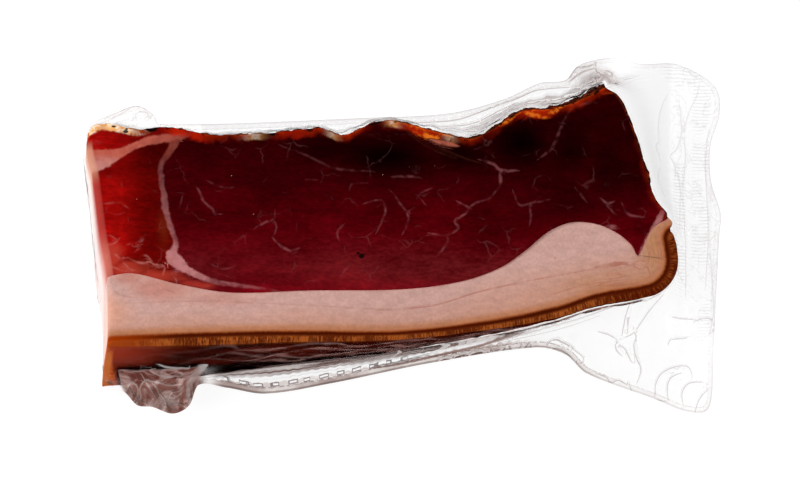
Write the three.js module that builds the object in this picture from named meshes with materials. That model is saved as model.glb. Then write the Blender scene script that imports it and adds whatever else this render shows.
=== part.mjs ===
// A slab of speck, a smoked and air-cured ham, in a clear vacuum bag.
// It lies on its back cut face. X runs along the slab, Y from the rind up to the smoked crust and
// Z from the back cut face up to the front one. All sizes are in millimetres.
// The slab is two layers that run through its whole thickness: the lean meat, and the fat with its rind.
// The bag clings to the slab too closely to be a solid there, so it is the free film that stands out
// all round: the hem under the rind, the sealed flap at the right, the top edge and the small ear.
import * as THREE from 'three';
import { mergeVertices } from 'three/addons/utils/BufferGeometryUtils.js';

// The slab
const slabThickness = 45;
const cutEdgeRadius = 1.6;      // the cut faces round over into the sides by this much
const layerGap = 0.3;           // clearance kept between the lean and the fat
const filmGap = 0.7;            // and between the slab and the film's root
const backTwist = 0.083;        // the back face leans against the front one: rise for each mm along X
const twistCentreX = -12;
const leftEndFlare = 2.2;       // the back of the left end stands out this far
const flareFrom = 20;           // below this height on the face the flare begins
const flareFull = -10;          // and here it is whole
const rindHollow = 2;           // the back of the rind side is this much flatter halfway along
const sideBulge = { top: 1.8, right: 1.6, left: 0.2, bottom: 0.3 };
const fatEndSwell = { left: 0.4, right: 1.5 };  // the ends of the fat layer swell between their corners
const fatEndFade = 8;           // how soon the left end's inset fades along the rind
const cragDepth = 0.9;          // crags of the smoked crust along the top side
const cragLength = 9;           // from one crag to the next
const cragSlant = 0.6;          // they run aslant up the side
const cragBreaks = { along: 0.2, up: -0.4 };    // and are broken up by longer waves
const faceSwell = 0.7;          // gentle swells of the front cut face
const swellLength = 60;
const swellStart = { x: 1.3, y: 0.4 };
const edgeReach = 0.12;         // share of the face over which the swells fade out at its edges

// The free film of the bag
const filmThickness = 0.9;      // two films and the air in their creases
const tentThickness = 4;        // where the films part to pass over and under the slab
const hemThickness = 1.5;       // the folded outer edge
const creaseHeight = 1.1;
const creasedReach = 25;        // where the film reaches out this far, its creases have their full height
const creaseTurn = 2.1;         // radians from one station to the next, so a crease is three stations wide
const tentFade = 4;             // how soon the tent thins out from the slab

// How finely each direction is divided
const stepsAlong = 56;
const crowding = 0.3;           // how much closer the steps come at the right end, where the fat folds up
const stepsLean = 8;
const stepsFat = 5;
const stepsFilm = 6;
const edgeRing = 0.3;           // a ring of points this share of the way round a cut edge

// Colours and roughness
const leanColour = 0x5a0a12;
const fatColour = 0xd9a08c;
const filmColour = 0xe8ebee;
const meatRoughness = 0.45;
const filmRoughness = 0.12;

// Landmarks of the front cut face, each [x, y]
const crustLine = [
  [-98, 31.5], [-96.6, 33.7], [-93.5, 34.9], [-88, 34.6], [-82.5, 33.2], [-74, 34.4], [-66, 33.6],
  [-58, 32], [-40, 32.9], [-21, 35], [-14, 32.8],
  [-3, 37.6], [4, 38], [15, 35.4], [28, 32.5], [34, 34.4], [46, 42.2], [56, 43.4], [66, 46.6], [74.6, 51.5],
];
const darkEndLine = [
  [93.6, 8.6], [90.6, 12.6], [89, 19.4], [84.6, 37.2], [82.3, 43.7], [79.7, 48.2], [76, 50.9],
];
const fatLine = [
  [-90.6, -17.1], [-82.4, -16], [-67.6, -19.4], [-50.6, -21.9], [-27, -20.8], [5.3, -19.9], [25.2, -16.9],
  [38.5, -12], [47.2, -5.9], [54.9, 0.7], [62.6, 3.9], [71, 3.4], [78, 0.3], [82.6, -3.6], [84.6, -6.9],
  [86.4, -3.9], [89.4, 2], [95.2, 5.9],
];
const leftEndLine = [
  [-98, 31.5], [-98.3, 26], [-96.4, 18], [-93.3, -2.4], [-90.6, -17.1], [-90.1, -28], [-90.1, -40.3],
];
const rindLine = [
  [-90.1, -40.3], [-60, -39.4], [-30, -38], [5.3, -36.7], [38.3, -32.3], [58.3, -28.3], [71.7, -24.2],
  [85.1, -21.8], [91.8, -19.7], [96.5, -15.1], [98.4, -8.8], [97.1, 0], [94.8, 2],
];

// Landmarks of the bag's outer edge, each [where, x, y, z]. Where counts round the slab, anticlockwise
// from the left end of the rind: 0 to 1 along the rind, 1 to 2 up the dark end, 2 to 3 back along the
// crust and 3 to 4 down the left end.
const gatheredCorner = [
  [0.012, -89, -47.6, 6], [0.03, -84.5, -49, 7], [0.05, -80, -53, 4], [0.07, -75, -54.2, 8],
  [0.095, -68, -55.8, 4.5], [0.12, -62.6, -53.5, 8], [0.145, -59.4, -46, 5],
];
const hem = [
  [0.19, -50, -46.4, 3], [0.25, -37, -48.2, 2.6], [0.36, -15, -44.4, 2.4], [0.52, 19, -37, 3.4],
  [0.7, 55, -31.2, 4], [0.755, 66, -33.4, 3], [0.785, 73, -39.6, 2.4], [0.865, 96, -48, 2.2],
];
const sealedFlap = [
  [0.905, 108, -52.6, 3.4], [0.935, 115.4, -50.6, 3], [0.97, 116.6, -33, 5], [1.1, 119, 6, 7],
  [1.2, 119.7, 15.6, 8], [1.36, 116.4, 27, 9], [1.55, 116, 39, 11], [1.74, 119.2, 51.6, 13],
  [1.84, 116.6, 60.2, 15], [1.93, 103, 66.8, 17], [1.965, 91, 66.2, 18],
];
const topEdge = [
  [2, 81, 67.6, 20], [2.035, 69, 64, 23], [2.065, 63.8, 58, 25], [2.12, 54.8, 56.4, 26],
  [2.19, 42.8, 50.6, 26], [2.3, 24.5, 45.2, 26], [2.46, -2, 43, 26], [2.87, -74, 39.4, 25],
];
const ear = [[2.9, -76.4, 42.6, 25.5], [2.93, -82, 45.6, 25], [2.965, -90, 42.8, 24], [3, -98, 39.4, 22]];
const leftEdge = [
  [3.1, -100.6, 31, 20], [3.38, -98.4, 12.5, 16], [3.69, -95.6, -10.3, 14], [3.92, -94, -36, 11],
];
// The height at which the film leaves the slab's side, each [where, z]
const filmRoots = [
  [0, 9], [0.5, 9], [0.9, 10], [1.3, 13], [2, 20], [2.3, 25], [2.9, 25], [3.2, 20], [3.7, 14], [4, 9],
];

// A smooth line through landmarks, read off at any value of their first column
function through(landmarks, column = 1) {
  const overshoot = 0.2;        // it may run on past its ends by this share of a span
  const slope = (i) => {
    const before = landmarks[Math.max(i - 1, 0)];
    const after = landmarks[Math.min(i + 1, landmarks.length - 1)];
    return (after[column] - before[column]) / (after[0] - before[0]);
  };
  return (at) => {
    let i = 0;
    while (i < landmarks.length - 2 && at > landmarks[i + 1][0]) i += 1;
    const [from, to] = [landmarks[i], landmarks[i + 1]];
    const span = to[0] - from[0];
    const t = THREE.MathUtils.clamp((at - from[0]) / span, -overshoot, 1 + overshoot);
    const rise = to[column] - from[column];
    const [a, b] = [slope(i) * span, slope(i + 1) * span];
    return from[column] + t * (a + t * (3 * rise - 2 * a - b + t * (a + b - 2 * rise)));
  };
}

const lerp = THREE.MathUtils.lerp;
const byHeight = (landmarks) => landmarks.map(([x, y]) => [y, x]).sort((p, q) => p[0] - q[0]);
const crustY = through(crustLine);
const fatY = through(fatLine);
const darkEndX = through(byHeight(darkEndLine));
const leftEndX = through(byHeight(leftEndLine));
const rindPath = new THREE.SplineCurve(rindLine.map(([x, y]) => new THREE.Vector2(x, y)));
const first = (list) => list[0];
const last = (list) => list[list.length - 1];

const along = (u) => u + crowding * u * (1 - u);

// A patch between four sides, each a function from 0 to 1, whose ends meet at the corners
function patch(bottom, top, left, right, a, v) {
  const corners = bottom(0).multiplyScalar((1 - a) * (1 - v))
    .add(bottom(1).multiplyScalar(a * (1 - v)))
    .add(top(0).multiplyScalar((1 - a) * v))
    .add(top(1).multiplyScalar(a * v));
  return bottom(a).multiplyScalar(1 - v)
    .add(top(a).multiplyScalar(v))
    .add(left(v).multiplyScalar(1 - a))
    .add(right(v).multiplyScalar(a))
    .sub(corners);
}

// The line where lean and fat meet, moved up or down by half the gap. Only its ends follow the insets.
function layerLine(a, inset, side) {
  const endsOnly = 40;
  const steepest = 2;
  const drawnIn = inset.left * (1 - a) ** endsOnly - inset.right * a ** endsOnly;
  const x = lerp(first(fatLine)[0], last(fatLine)[0], a) + drawnIn;
  const slope = Math.abs(fatY(x + layerGap) - fatY(x - layerGap)) / (2 * layerGap);
  return new THREE.Vector2(x, fatY(x) + side * layerGap / 2 * Math.hypot(1, Math.min(slope, steepest)));
}

// The outline of the lean at one height, and the points inside it. Its ends follow their own lines
// between the corners that the crust and the fat leave them.
function leanOutline(a, v, inset) {
  const bottom = (t) => layerLine(t, inset, 1);
  const top = (t) => {
    const x = lerp(first(crustLine)[0] + inset.left, last(crustLine)[0] - inset.right / 2, t);
    return new THREE.Vector2(x, crustY(x) - inset.top);
  };
  const side = (low, high, lineX) => (t) => {
    const y = lerp(low.y, high.y, t);
    return new THREE.Vector2(lineX(y) + lerp(low.x - lineX(low.y), high.x - lineX(high.y), t), y);
  };
  const left = side(bottom(0), top(0), leftEndX);
  const right = side(bottom(1), top(1), darkEndX);
  return patch(bottom, top, left, right, a, v);
}

function fatOutline(a, v, inset) {
  const top = (t) => layerLine(t, inset, -1);
  const bottom = (t) => {
    const tangent = rindPath.getTangentAt(t);
    const inward = new THREE.Vector2(-tangent.y, tangent.x);
    const endwise = new THREE.Vector2(inset.left * (1 - t) ** fatEndFade, 0);
    return rindPath.getPointAt(t).addScaledVector(inward, inset.bottom).add(endwise);
  };
  const side = (low, high, swell) => (t) => {
    const point = low.clone().lerp(high, t);
    point.x += swell * Math.sin(Math.PI * t);
    return point;
  };
  const left = side(bottom(0), top(0), fatEndSwell.left);
  const right = side(bottom(1), top(1), fatEndSwell.right);
  return patch(bottom, top, left, right, a, v);
}

// How far each side is drawn in at height z: round cut edges, and sides that bulge between them
function insetsAt(z, x) {
  const fromFace = Math.min(z, slabThickness - z);
  const within = Math.min(fromFace / cutEdgeRadius, 1);
  const round = cutEdgeRadius * (1 - Math.sqrt(1 - (1 - within) ** 2));
  const middle = Math.sin(Math.PI * z / slabThickness);
  const turn = 2 * Math.PI / cragLength;
  const breaks = Math.cos(turn * (cragBreaks.along * x + cragBreaks.up * z));
  const crags = cragDepth * middle * breaks * Math.sin(turn * (x + cragSlant * z));
  return {
    top: round - sideBulge.top * middle + crags,
    right: round - sideBulge.right * middle,
    left: round - sideBulge.left * middle,
    bottom: round - sideBulge.bottom * middle,
  };
}

// The back face leans against the front one, and its left end and rind side differ a little
function leanBack(point, z, towardsRind) {
  const depth = 1 - z / slabThickness;
  const endX = Math.abs(first(crustLine)[0]);
  const downwards = THREE.MathUtils.smoothstep(-point.y, -flareFrom, -flareFull);
  const endwise = downwards * THREE.MathUtils.smoothstep(-point.x, endX * 2 / 3, endX);
  const halfway = Math.cos(Math.PI / 2 * Math.min(Math.abs(point.x) / endX, 1)) ** 2;
  return new THREE.Vector3(
    point.x - leftEndFlare * depth * endwise,
    point.y + backTwist * depth * (point.x - twistCentreX) + rindHollow * depth * halfway * towardsRind,
    z,
  );
}

// Low swells across the front cut face, long ones and some half as deep, which end at its outer edges
function faceRelief(point, strength) {
  const [x, y] = [2 * Math.PI * point.x / swellLength, 2 * Math.PI * point.y / swellLength];
  const long = Math.sin(x / 2 + swellStart.x) * Math.cos(y + swellStart.y);
  return faceSwell * strength * (long + Math.sin(x - y) / 2);
}

const edgeFade = (t) => THREE.MathUtils.smoothstep(t, 0, edgeReach);

// A point of the lean or of the fat: u from the left end to the right, v from the rind up, z from the back
const insetsAlong = (a, z) => insetsAt(z, lerp(first(crustLine)[0], last(fatLine)[0], a));
const leanPoint = (u, v, z) => leanBack(leanOutline(along(u), v, insetsAlong(along(u), z)), z, 0);
const fatPoint = (u, v, z) => leanBack(fatOutline(along(u), v, insetsAlong(along(u), z)), z, 1 - v);

// Heights of the rings of points round a slab: close together where the cut edges are round
const rings = [
  0, edgeRing * cutEdgeRadius, cutEdgeRadius, slabThickness / 3, slabThickness * 2 / 3,
  slabThickness - cutEdgeRadius, slabThickness - edgeRing * cutEdgeRadius, slabThickness,
];

function solidMesh(name, geometry, colour, roughness) {
  geometry.deleteAttribute('normal');
  geometry.deleteAttribute('uv');
  const merged = mergeVertices(geometry, 1e-4);
  merged.computeVertexNormals();
  const finish = new THREE.MeshStandardMaterial({ color: colour, roughness, metalness: 0 });
  const mesh = new THREE.Mesh(merged, finish);
  mesh.name = name;
  return mesh;
}

// One layer of the slab: a divided box whose points are moved to the layer's own shape
function layerMesh(name, stepsAcross, pointAt, openSide, colour) {
  const box = new THREE.BoxGeometry(1, 1, 1, stepsAlong, stepsAcross, rings.length - 1);
  const position = box.getAttribute('position');
  for (let i = 0; i < position.count; i += 1) {
    const [u, v] = [position.getX(i) + 0.5, position.getY(i) + 0.5];
    const z = rings[Math.round((position.getZ(i) + 0.5) * (rings.length - 1))];
    const point = pointAt(u, v, z);
    const inside = edgeFade(u) * edgeFade(1 - u) * edgeFade(openSide(v));
    if (z === slabThickness) point.z += faceRelief(point, inside);
    position.setXYZ(i, point.x, point.y, point.z);
  }
  return solidMesh(name, box, colour, meatRoughness);
}

// Stations round the slab's side, each a function of height that gives the point of the slab there
function stationsRound() {
  const steps = (count, make) => Array.from({ length: count }, (_, i) => make(i / count));
  return [
    steps(stepsAlong, (t) => (z) => fatPoint(t, 0, z)),
    [
      ...steps(stepsFat, (t) => (z) => fatPoint(1, t, z)),
      ...steps(stepsLean, (t) => (z) => leanPoint(1, t, z)),
    ],
    steps(stepsAlong, (t) => (z) => leanPoint(1 - t, 1, z)),
    [
      ...steps(stepsLean, (t) => (z) => leanPoint(0, 1 - t, z)),
      ...steps(stepsFat, (t) => (z) => fatPoint(0, 1 - t, z)),
    ],
  ];
}

// Each station with its place round the slab, counted by length along the four sides
function measuredStations() {
  const sides = stationsRound();
  const found = [];
  sides.forEach((side, index) => {
    const corner = sides[(index + 1) % sides.length][0];
    const points = [...side, corner].map((station) => station(slabThickness / 3));
    const lengths = points.slice(1).map((point, i) => point.distanceTo(points[i]));
    const total = lengths.reduce((sum, length) => sum + length, 0);
    let done = 0;
    side.forEach((station, i) => {
      found.push({ where: index + done / total, station });
      done += lengths[i];
    });
  });
  return found;
}

// The outer edge of the bag, as lines through its landmarks that close on themselves
function bagEdge() {
  const marks = [...gatheredCorner, ...hem, ...sealedFlap, ...topEdge, ...ear, ...leftEdge];
  const turned = (some, by) => some.map(([where, ...place]) => [where + by, ...place]);
  const closed = [...turned(marks.slice(-2), -4), ...marks, ...turned(marks.slice(0, 2), 4)];
  const [x, y, z] = [1, 2, 3].map((column) => through(closed, column));
  return (where) => new THREE.Vector3(x(where), y(where), z(where));
}

// The point of the slab's flat-sided wall at a height, between the rings below and above it
function onWall(station, z) {
  const above = Math.max(rings.findIndex((ring) => ring >= z), 1);
  const [low, high] = [rings[above - 1], rings[above]];
  return station(low).lerp(station(high), (z - low) / (high - low));
}

// Half the thickness of the free film, from the slab (share 0) out to the edge (share 1)
function filmHalf(share) {
  const tent = (tentThickness - filmThickness) * (1 - share) ** tentFade;
  return (filmThickness + tent + (hemThickness - filmThickness) * share ** tentFade) / 2;
}

// The free film is a closed ring: at each station a thin section runs from the slab out to the edge
function bagMesh() {
  const stations = measuredStations();
  const outerEdge = bagEdge();
  const rootHeight = through(filmRoots);
  const count = stations.length;
  const roots = stations.map(({ where, station }) => onWall(station, rootHeight(where)));
  const sections = stations.map(({ where, station }, i) => {
    const [before, after] = [roots[(i + count - 1) % count], roots[(i + 1) % count]];
    const outward = new THREE.Vector3(after.y - before.y, before.x - after.x, 0).normalize();
    const outer = outerEdge(where);
    const reach = Math.min(Math.hypot(outer.x - roots[i].x, outer.y - roots[i].y) / creasedReach, 1);
    const crease = creaseHeight * reach * Math.sin(creaseTurn * i);
    return (share, up) => {
      const half = filmHalf(share);
      const z = lerp(roots[i].z, outer.z, share) + crease * Math.sin(Math.PI * share) + up * half;
      const root = onWall(station, roots[i].z + up * filmHalf(0)).addScaledVector(outward, filmGap);
      const point = root.lerp(outer, share);
      point.z = Math.max(z, half * (1 + up));
      return point;
    };
  });
  const rim = 2 * (stepsFilm + 1);
  const torus = new THREE.TorusGeometry(2, 1, rim, count);
  const [position, uv] = [torus.getAttribute('position'), torus.getAttribute('uv')];
  for (let i = 0; i < position.count; i += 1) {
    const station = Math.round(uv.getX(i) * count) % count;
    const turn = Math.round(uv.getY(i) * rim) % rim;
    const onTop = turn <= stepsFilm;
    const share = onTop ? 1 - turn / stepsFilm : (turn - stepsFilm - 1) / stepsFilm;
    const point = sections[station](share, onTop ? 1 : -1);
    position.setXYZ(i, point.x, point.y, point.z);
  }
  return solidMesh('vacuum_bag', torus, filmColour, filmRoughness);
}

const speckPack = new THREE.Group();
speckPack.add(layerMesh('lean_meat', stepsLean, leanPoint, (v) => 1 - v, leanColour));
speckPack.add(layerMesh('fat_and_rind', stepsFat, fatPoint, (v) => v, fatColour));
speckPack.add(bagMesh());

export default speckPack;
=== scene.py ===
import bpy
import math
import numpy as np
from mathutils import Matrix, Vector


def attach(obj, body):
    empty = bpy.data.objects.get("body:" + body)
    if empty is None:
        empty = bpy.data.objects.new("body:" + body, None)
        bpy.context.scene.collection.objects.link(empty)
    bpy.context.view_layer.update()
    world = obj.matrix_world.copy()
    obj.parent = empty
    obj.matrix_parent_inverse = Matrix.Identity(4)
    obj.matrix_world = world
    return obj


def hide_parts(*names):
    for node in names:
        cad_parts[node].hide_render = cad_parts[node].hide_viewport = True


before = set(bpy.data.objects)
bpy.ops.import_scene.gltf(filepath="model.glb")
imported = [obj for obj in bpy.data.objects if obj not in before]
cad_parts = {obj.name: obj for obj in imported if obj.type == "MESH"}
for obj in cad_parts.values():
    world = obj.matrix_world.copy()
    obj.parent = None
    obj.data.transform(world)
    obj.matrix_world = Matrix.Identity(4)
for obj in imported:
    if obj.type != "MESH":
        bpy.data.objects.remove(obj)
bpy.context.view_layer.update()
print("frame loaded")

mm = 0.001                      # shapes are worked out in millimetres, as the solids are
onEdge = 1e-5                   # a point this near a side of the slab lies on it
farOff = 1e3                    # a distance that counts as nowhere near
tableSize = 128                 # random values along each side of a lattice

# the slab, as its solids have it
slab = {
    "thickness": 45,
    "cutEdge": 1.6,             # the cut faces round over into the sides
    "twist": 0.083,             # the back face is turned against the front one
    "twistCentre": -12,
    "leftFlare": 2.2,           # the left end flares towards the back, below these heights
    "flareFrom": 20,
    "flareFull": -10,
    "rindHollow": 2,            # the rind side is hollow towards the back
    "bulge": {"top": 1.8, "right": 1.6, "left": 0.2, "bottom": 0.3},
    "cragDepth": 0.9,
    "cragLength": 9,
    "faceSwell": 0.7,           # the front face swells a little, less and less towards its sides
    "swellLength": 60,
    "swellFade": 0.12,          # share of the slab over which it does so
    "crowding": 0.3,            # finer steps at the right end
    "fatShare": 0.3,            # share of the steps up the slab that the fat has
}
crustLine = [
    (-98, 31.5), (-96.6, 33.7), (-93.5, 34.9), (-88, 34.6), (-82.5, 33.2), (-74, 34.4), (-66, 33.6),
    (-58, 32), (-40, 32.9), (-21, 35), (-14, 32.8), (-3, 37.6), (4, 38), (15, 35.4), (28, 32.5), (34, 34.4),
    (46, 42.2), (56, 43.4), (66, 46.6), (74.6, 51.5),
]
darkEndLine = [(93.6, 8.6), (90.6, 12.6), (89, 19.4), (84.6, 37.2), (82.3, 43.7), (79.7, 48.2), (76, 50.9)]
fatLine = [
    (-90.6, -17.1), (-82.4, -16), (-67.6, -19.4), (-50.6, -21.9), (-27, -20.8), (5.3, -19.9), (25.2, -16.9),
    (38.5, -12), (47.2, -5.9), (54.9, 0.7), (62.6, 3.9), (71, 3.4), (78, 0.3), (82.6, -3.6), (84.6, -6.9),
    (86.4, -3.9), (89.4, 2), (95.2, 5.9),
]
leftEndLine = [
    (-98, 31.5), (-98.3, 26), (-96.4, 18), (-93.3, -2.4), (-90.6, -17.1), (-90.1, -28), (-90.1, -40.3),
]
rindLine = [
    (-90.1, -40.3), (-60, -39.4), (-30, -38), (5.3, -36.7), (38.3, -32.3), (58.3, -28.3), (71.7, -24.2),
    (85.1, -21.8), (91.8, -19.7), (96.5, -15.1), (98.4, -8.8), (97.1, 0), (94.8, 2),
]


def lerp(a, b, t):
    return a + (b - a) * t


def smooth(low, high, at):
    t = np.clip((at - low) / (high - low), 0, 1)
    return t * t * (3 - 2 * t)


def through(marks, at, column=1):
    # a smooth line through marks, read off at any value of their first column
    marks = np.array(marks, float)
    xs, ys = marks[:, 0], marks[:, column]
    slopes = np.gradient(ys, xs)
    slopes[1:-1] = (ys[2:] - ys[:-2]) / (xs[2:] - xs[:-2])
    at = np.asarray(at, float)
    i = np.clip(np.searchsorted(xs, at) - 1, 0, len(xs) - 2)
    span = xs[i + 1] - xs[i]
    t = np.clip((at - xs[i]) / span, -0.2, 1.2)
    rise = ys[i + 1] - ys[i]
    a, b = slopes[i] * span, slopes[i + 1] * span
    return ys[i] + t * (a + t * (3 * rise - 2 * a - b + t * (a + b - 2 * rise)))


def byHeight(marks):
    return sorted((y, x) for x, y in marks)


def pair(x, y):
    return np.stack(np.broadcast_arrays(x, y), -1).astype(float)


def evenCurve(points, count):
    # even steps along a curve through the points, and their distances along it
    p = np.array(points, float)
    p = np.vstack([p[:1], p, p[-1:]])
    t = np.linspace(0, len(points) - 1, max(count, 8 * len(points)))
    i = np.minimum(t.astype(int), len(points) - 2)
    w = (t - i)[:, None]
    p0, p1, p2, p3 = p[i], p[i + 1], p[i + 2], p[i + 3]
    a, b = (p2 - p0) / 2, (p3 - p1) / 2
    line = p1 + w * (a + w * (3 * (p2 - p1) - 2 * a - b + w * (2 * (p1 - p2) + a + b)))
    lengths = np.concatenate([[0], np.cumsum(np.linalg.norm(np.diff(line[:, :2], axis=0), axis=1))])
    even = np.linspace(0, lengths[-1], count)
    return np.stack([np.interp(even, lengths, column) for column in line.T], -1), even


rindPoints, rindLengths = evenCurve(rindLine, 600)
rindTurns = np.gradient(rindPoints, axis=0)
rindTurns /= np.linalg.norm(rindTurns, axis=1)[:, None]


def onRind(t):
    share = np.linspace(0, 1, len(rindPoints))
    point = pair(np.interp(t, share, rindPoints[:, 0]), np.interp(t, share, rindPoints[:, 1]))
    return point, pair(-np.interp(t, share, rindTurns[:, 1]), np.interp(t, share, rindTurns[:, 0]))


def patch(bottom, top, left, right, a, v):
    a, v = a[:, None], v[:, None]
    zero, one = np.zeros(len(a)), np.ones(len(a))
    corners = bottom(zero) * (1 - a) * (1 - v) + bottom(one) * a * (1 - v)
    corners += top(zero) * (1 - a) * v + top(one) * a * v
    sides = bottom(a[:, 0]) * (1 - v) + top(a[:, 0]) * v + left(v[:, 0]) * (1 - a) + right(v[:, 0]) * a
    return sides - corners


def seamLine(a, inset):
    x = lerp(fatLine[0][0], fatLine[-1][0], a) + inset["left"] * (1 - a) ** 40 - inset["right"] * a ** 40
    return pair(x, through(fatLine, x))


def leanOutline(a, v, inset):
    def bottom(t):
        return seamLine(t, inset)

    def top(t):
        x = lerp(crustLine[0][0] + inset["left"], crustLine[-1][0] - inset["right"] / 2, t)
        return pair(x, through(crustLine, x) - inset["top"])

    def side(low, high, line):
        def at(t):
            y = lerp(low[:, 1], high[:, 1], t)
            miss = lerp(low[:, 0] - through(line, low[:, 1]), high[:, 0] - through(line, high[:, 1]), t)
            return pair(through(line, y) + miss, y)
        return at

    zero, one = np.zeros(len(a)), np.ones(len(a))
    left = side(bottom(zero), top(zero), byHeight(leftEndLine))
    right = side(bottom(one), top(one), byHeight(darkEndLine))
    return patch(bottom, top, left, right, a, v)


def fatOutline(a, v, inset):
    def top(t):
        return seamLine(t, inset)

    def bottom(t):
        point, inward = onRind(t)
        return point + inward * inset["bottom"][:, None] + pair(inset["left"] * (1 - t) ** 8, 0 * t)

    def side(low, high, swell):
        return lambda t: lerp(low, high, t[:, None]) + pair(swell * np.sin(math.pi * t), 0 * t)

    zero, one = np.zeros(len(a)), np.ones(len(a))
    return patch(bottom, top, side(bottom(zero), top(zero), 0.4), side(bottom(one), top(one), 1.5), a, v)


def insetsAt(z, x):
    # how far each side is drawn in: round cut edges, and sides that bulge between them
    within = np.clip(np.minimum(z, slab["thickness"] - z) / slab["cutEdge"], 0, 1)
    rounded = slab["cutEdge"] * (1 - np.sqrt(1 - (1 - within) ** 2))
    middle = np.sin(math.pi * np.clip(z / slab["thickness"], 0, 1))
    turn = 2 * math.pi / slab["cragLength"]
    crags = slab["cragDepth"] * middle * np.sin(turn * (x + 0.6 * z)) * np.cos(turn * (0.2 * x - 0.4 * z))
    insets = {side: rounded - bulge * middle for side, bulge in slab["bulge"].items()}
    insets["top"] = insets["top"] + crags
    return insets


def leanBack(flat, z, towardsRind):
    depth = 1 - z / slab["thickness"]
    endX = abs(crustLine[0][0])
    endwise = smooth(-slab["flareFrom"], -slab["flareFull"], -flat[:, 1])
    endwise = endwise * smooth(endX * 2 / 3, endX, -flat[:, 0])
    halfway = np.cos(math.pi / 2 * np.minimum(np.abs(flat[:, 0]) / endX, 1)) ** 2
    x = flat[:, 0] - slab["leftFlare"] * depth * endwise
    y = flat[:, 1] + slab["twist"] * depth * (flat[:, 0] - slab["twistCentre"])
    return np.stack([x, y + slab["rindHollow"] * depth * halfway * towardsRind, z], -1)


def slabPoint(u, v, z):
    # a point of the slab and its place on the flat outline: v below fatShare is the fat, above is the lean
    a = u + slab["crowding"] * u * (1 - u)
    inset = insetsAt(z, lerp(crustLine[0][0], fatLine[-1][0], a))
    inFat = v < slab["fatShare"]
    fatV = np.clip(v / slab["fatShare"], 0, 1)
    leanV = np.clip((v - slab["fatShare"]) / (1 - slab["fatShare"]), 0, 1)
    flat = np.where(inFat[:, None], fatOutline(a, fatV, inset), leanOutline(a, leanV, inset))
    return leanBack(flat, z, np.where(inFat, 1 - fatV, 0)), flat


def faceRelief(flat):
    x, y = (2 * math.pi * flat[:, k] / slab["swellLength"] for k in (0, 1))
    return slab["faceSwell"] * (np.sin(x / 2 + 1.3) * np.cos(y + 0.4) + np.sin(x - y) / 2)


def lattice(x, y, seed):
    # smooth random values from -1 to 1 on a unit lattice
    table = np.random.default_rng(seed).random((tableSize, tableSize)) * 2 - 1
    i, j = np.floor(x).astype(int) % tableSize, np.floor(y).astype(int) % tableSize
    s, t = smooth(0, 1, x - np.floor(x)), smooth(0, 1, y - np.floor(y))
    nextI, nextJ = (i + 1) % tableSize, (j + 1) % tableSize
    return lerp(lerp(table[i, j], table[nextI, j], s), lerp(table[i, nextJ], table[nextI, nextJ], s), t)


def rough(x, y, seed, octaves=3):
    return sum(lattice(x * 2 ** k, y * 2 ** k, seed + k) / 2 ** k for k in range(octaves))


def ridges(x, y, seed, sharp=3):
    # creases: sharp crests with smooth film between them
    return (1 - np.minimum(np.abs(rough(x, y, seed, 2)), 1)) ** sharp


# how meshes are begun and finished
def gridBox(name, along, across, levels):
    # a box of one face per step, whose rows of side faces are extruded one by one
    bpy.ops.object.select_all(action="DESELECT")
    bpy.ops.mesh.primitive_grid_add(x_subdivisions=along, y_subdivisions=across, size=1, location=(0, 0, 0))
    box = bpy.context.object
    box.name = name
    bpy.ops.object.mode_set(mode="EDIT")
    bpy.ops.mesh.select_all(action="SELECT")
    for level in range(levels - 1):
        bpy.ops.mesh.extrude_region_move(TRANSFORM_OT_translate={"value": (0, 0, 1)})
    bpy.ops.object.mode_set(mode="OBJECT")
    return box


def ringTube(name, around, rows):
    # a tube closed both ways: a circle is extruded row by row, and the last row is bridged to the first
    bpy.ops.object.select_all(action="DESELECT")
    bpy.ops.mesh.primitive_circle_add(vertices=around, radius=1, fill_type="NOTHING", location=(0, 0, 0))
    tube = bpy.context.object
    tube.name = name
    bpy.ops.object.mode_set(mode="EDIT")
    bpy.ops.mesh.select_all(action="SELECT")
    for row in range(rows - 1):
        bpy.ops.mesh.extrude_region_move(TRANSFORM_OT_translate={"value": (0, 0, 1 / rows)})
    bpy.ops.mesh.select_all(action="DESELECT")
    bpy.ops.mesh.select_mode(type="EDGE")
    bpy.ops.object.mode_set(mode="OBJECT")
    points = readPoints(tube)
    row = np.round(points[:, 2] * rows).astype(int)
    atEnd = (row == 0) | (row == rows - 1)
    ends = np.empty(2 * len(tube.data.edges), int)
    tube.data.edges.foreach_get("vertices", ends)
    tube.data.edges.foreach_set("select", atEnd[ends].reshape(-1, 2).all(1))
    bpy.ops.object.mode_set(mode="EDIT")
    bpy.ops.mesh.bridge_edge_loops()
    bpy.ops.object.mode_set(mode="OBJECT")
    turn = np.arctan2(-points[:, 0], points[:, 1]) / (2 * math.pi) * around
    return tube, np.round(turn).astype(int) % around, row


def readPoints(piece):
    points = np.empty(len(piece.data.vertices) * 3)
    piece.data.vertices.foreach_get("co", points)
    return points.reshape(-1, 3)


def writePoints(piece, points):
    # writes the places, in millimetres, and returns the outward directions there
    piece.data.vertices.foreach_set("co", (points * mm).ravel())
    piece.data.update()
    bpy.ops.object.select_all(action="DESELECT")
    piece.select_set(True)
    bpy.context.view_layer.objects.active = piece
    bpy.ops.object.mode_set(mode="EDIT")
    bpy.ops.mesh.select_all(action="SELECT")
    bpy.ops.mesh.normals_make_consistent(inside=False)
    bpy.ops.object.mode_set(mode="OBJECT")
    normals = np.empty(len(points) * 3, np.float32)
    piece.data.vertex_normals.foreach_get("vector", normals)
    return normals.reshape(-1, 3)


def paint(piece, name, *channels):
    # up to four numbers for each point, which the material reads by name
    values = np.zeros((len(piece.data.vertices), 4), np.float32)
    for k, channel in enumerate(channels):
        values[:, k] = channel
    attribute = piece.data.attributes.new(name, "FLOAT_COLOR", "POINT")
    attribute.data.foreach_set("color", values.ravel())


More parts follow.
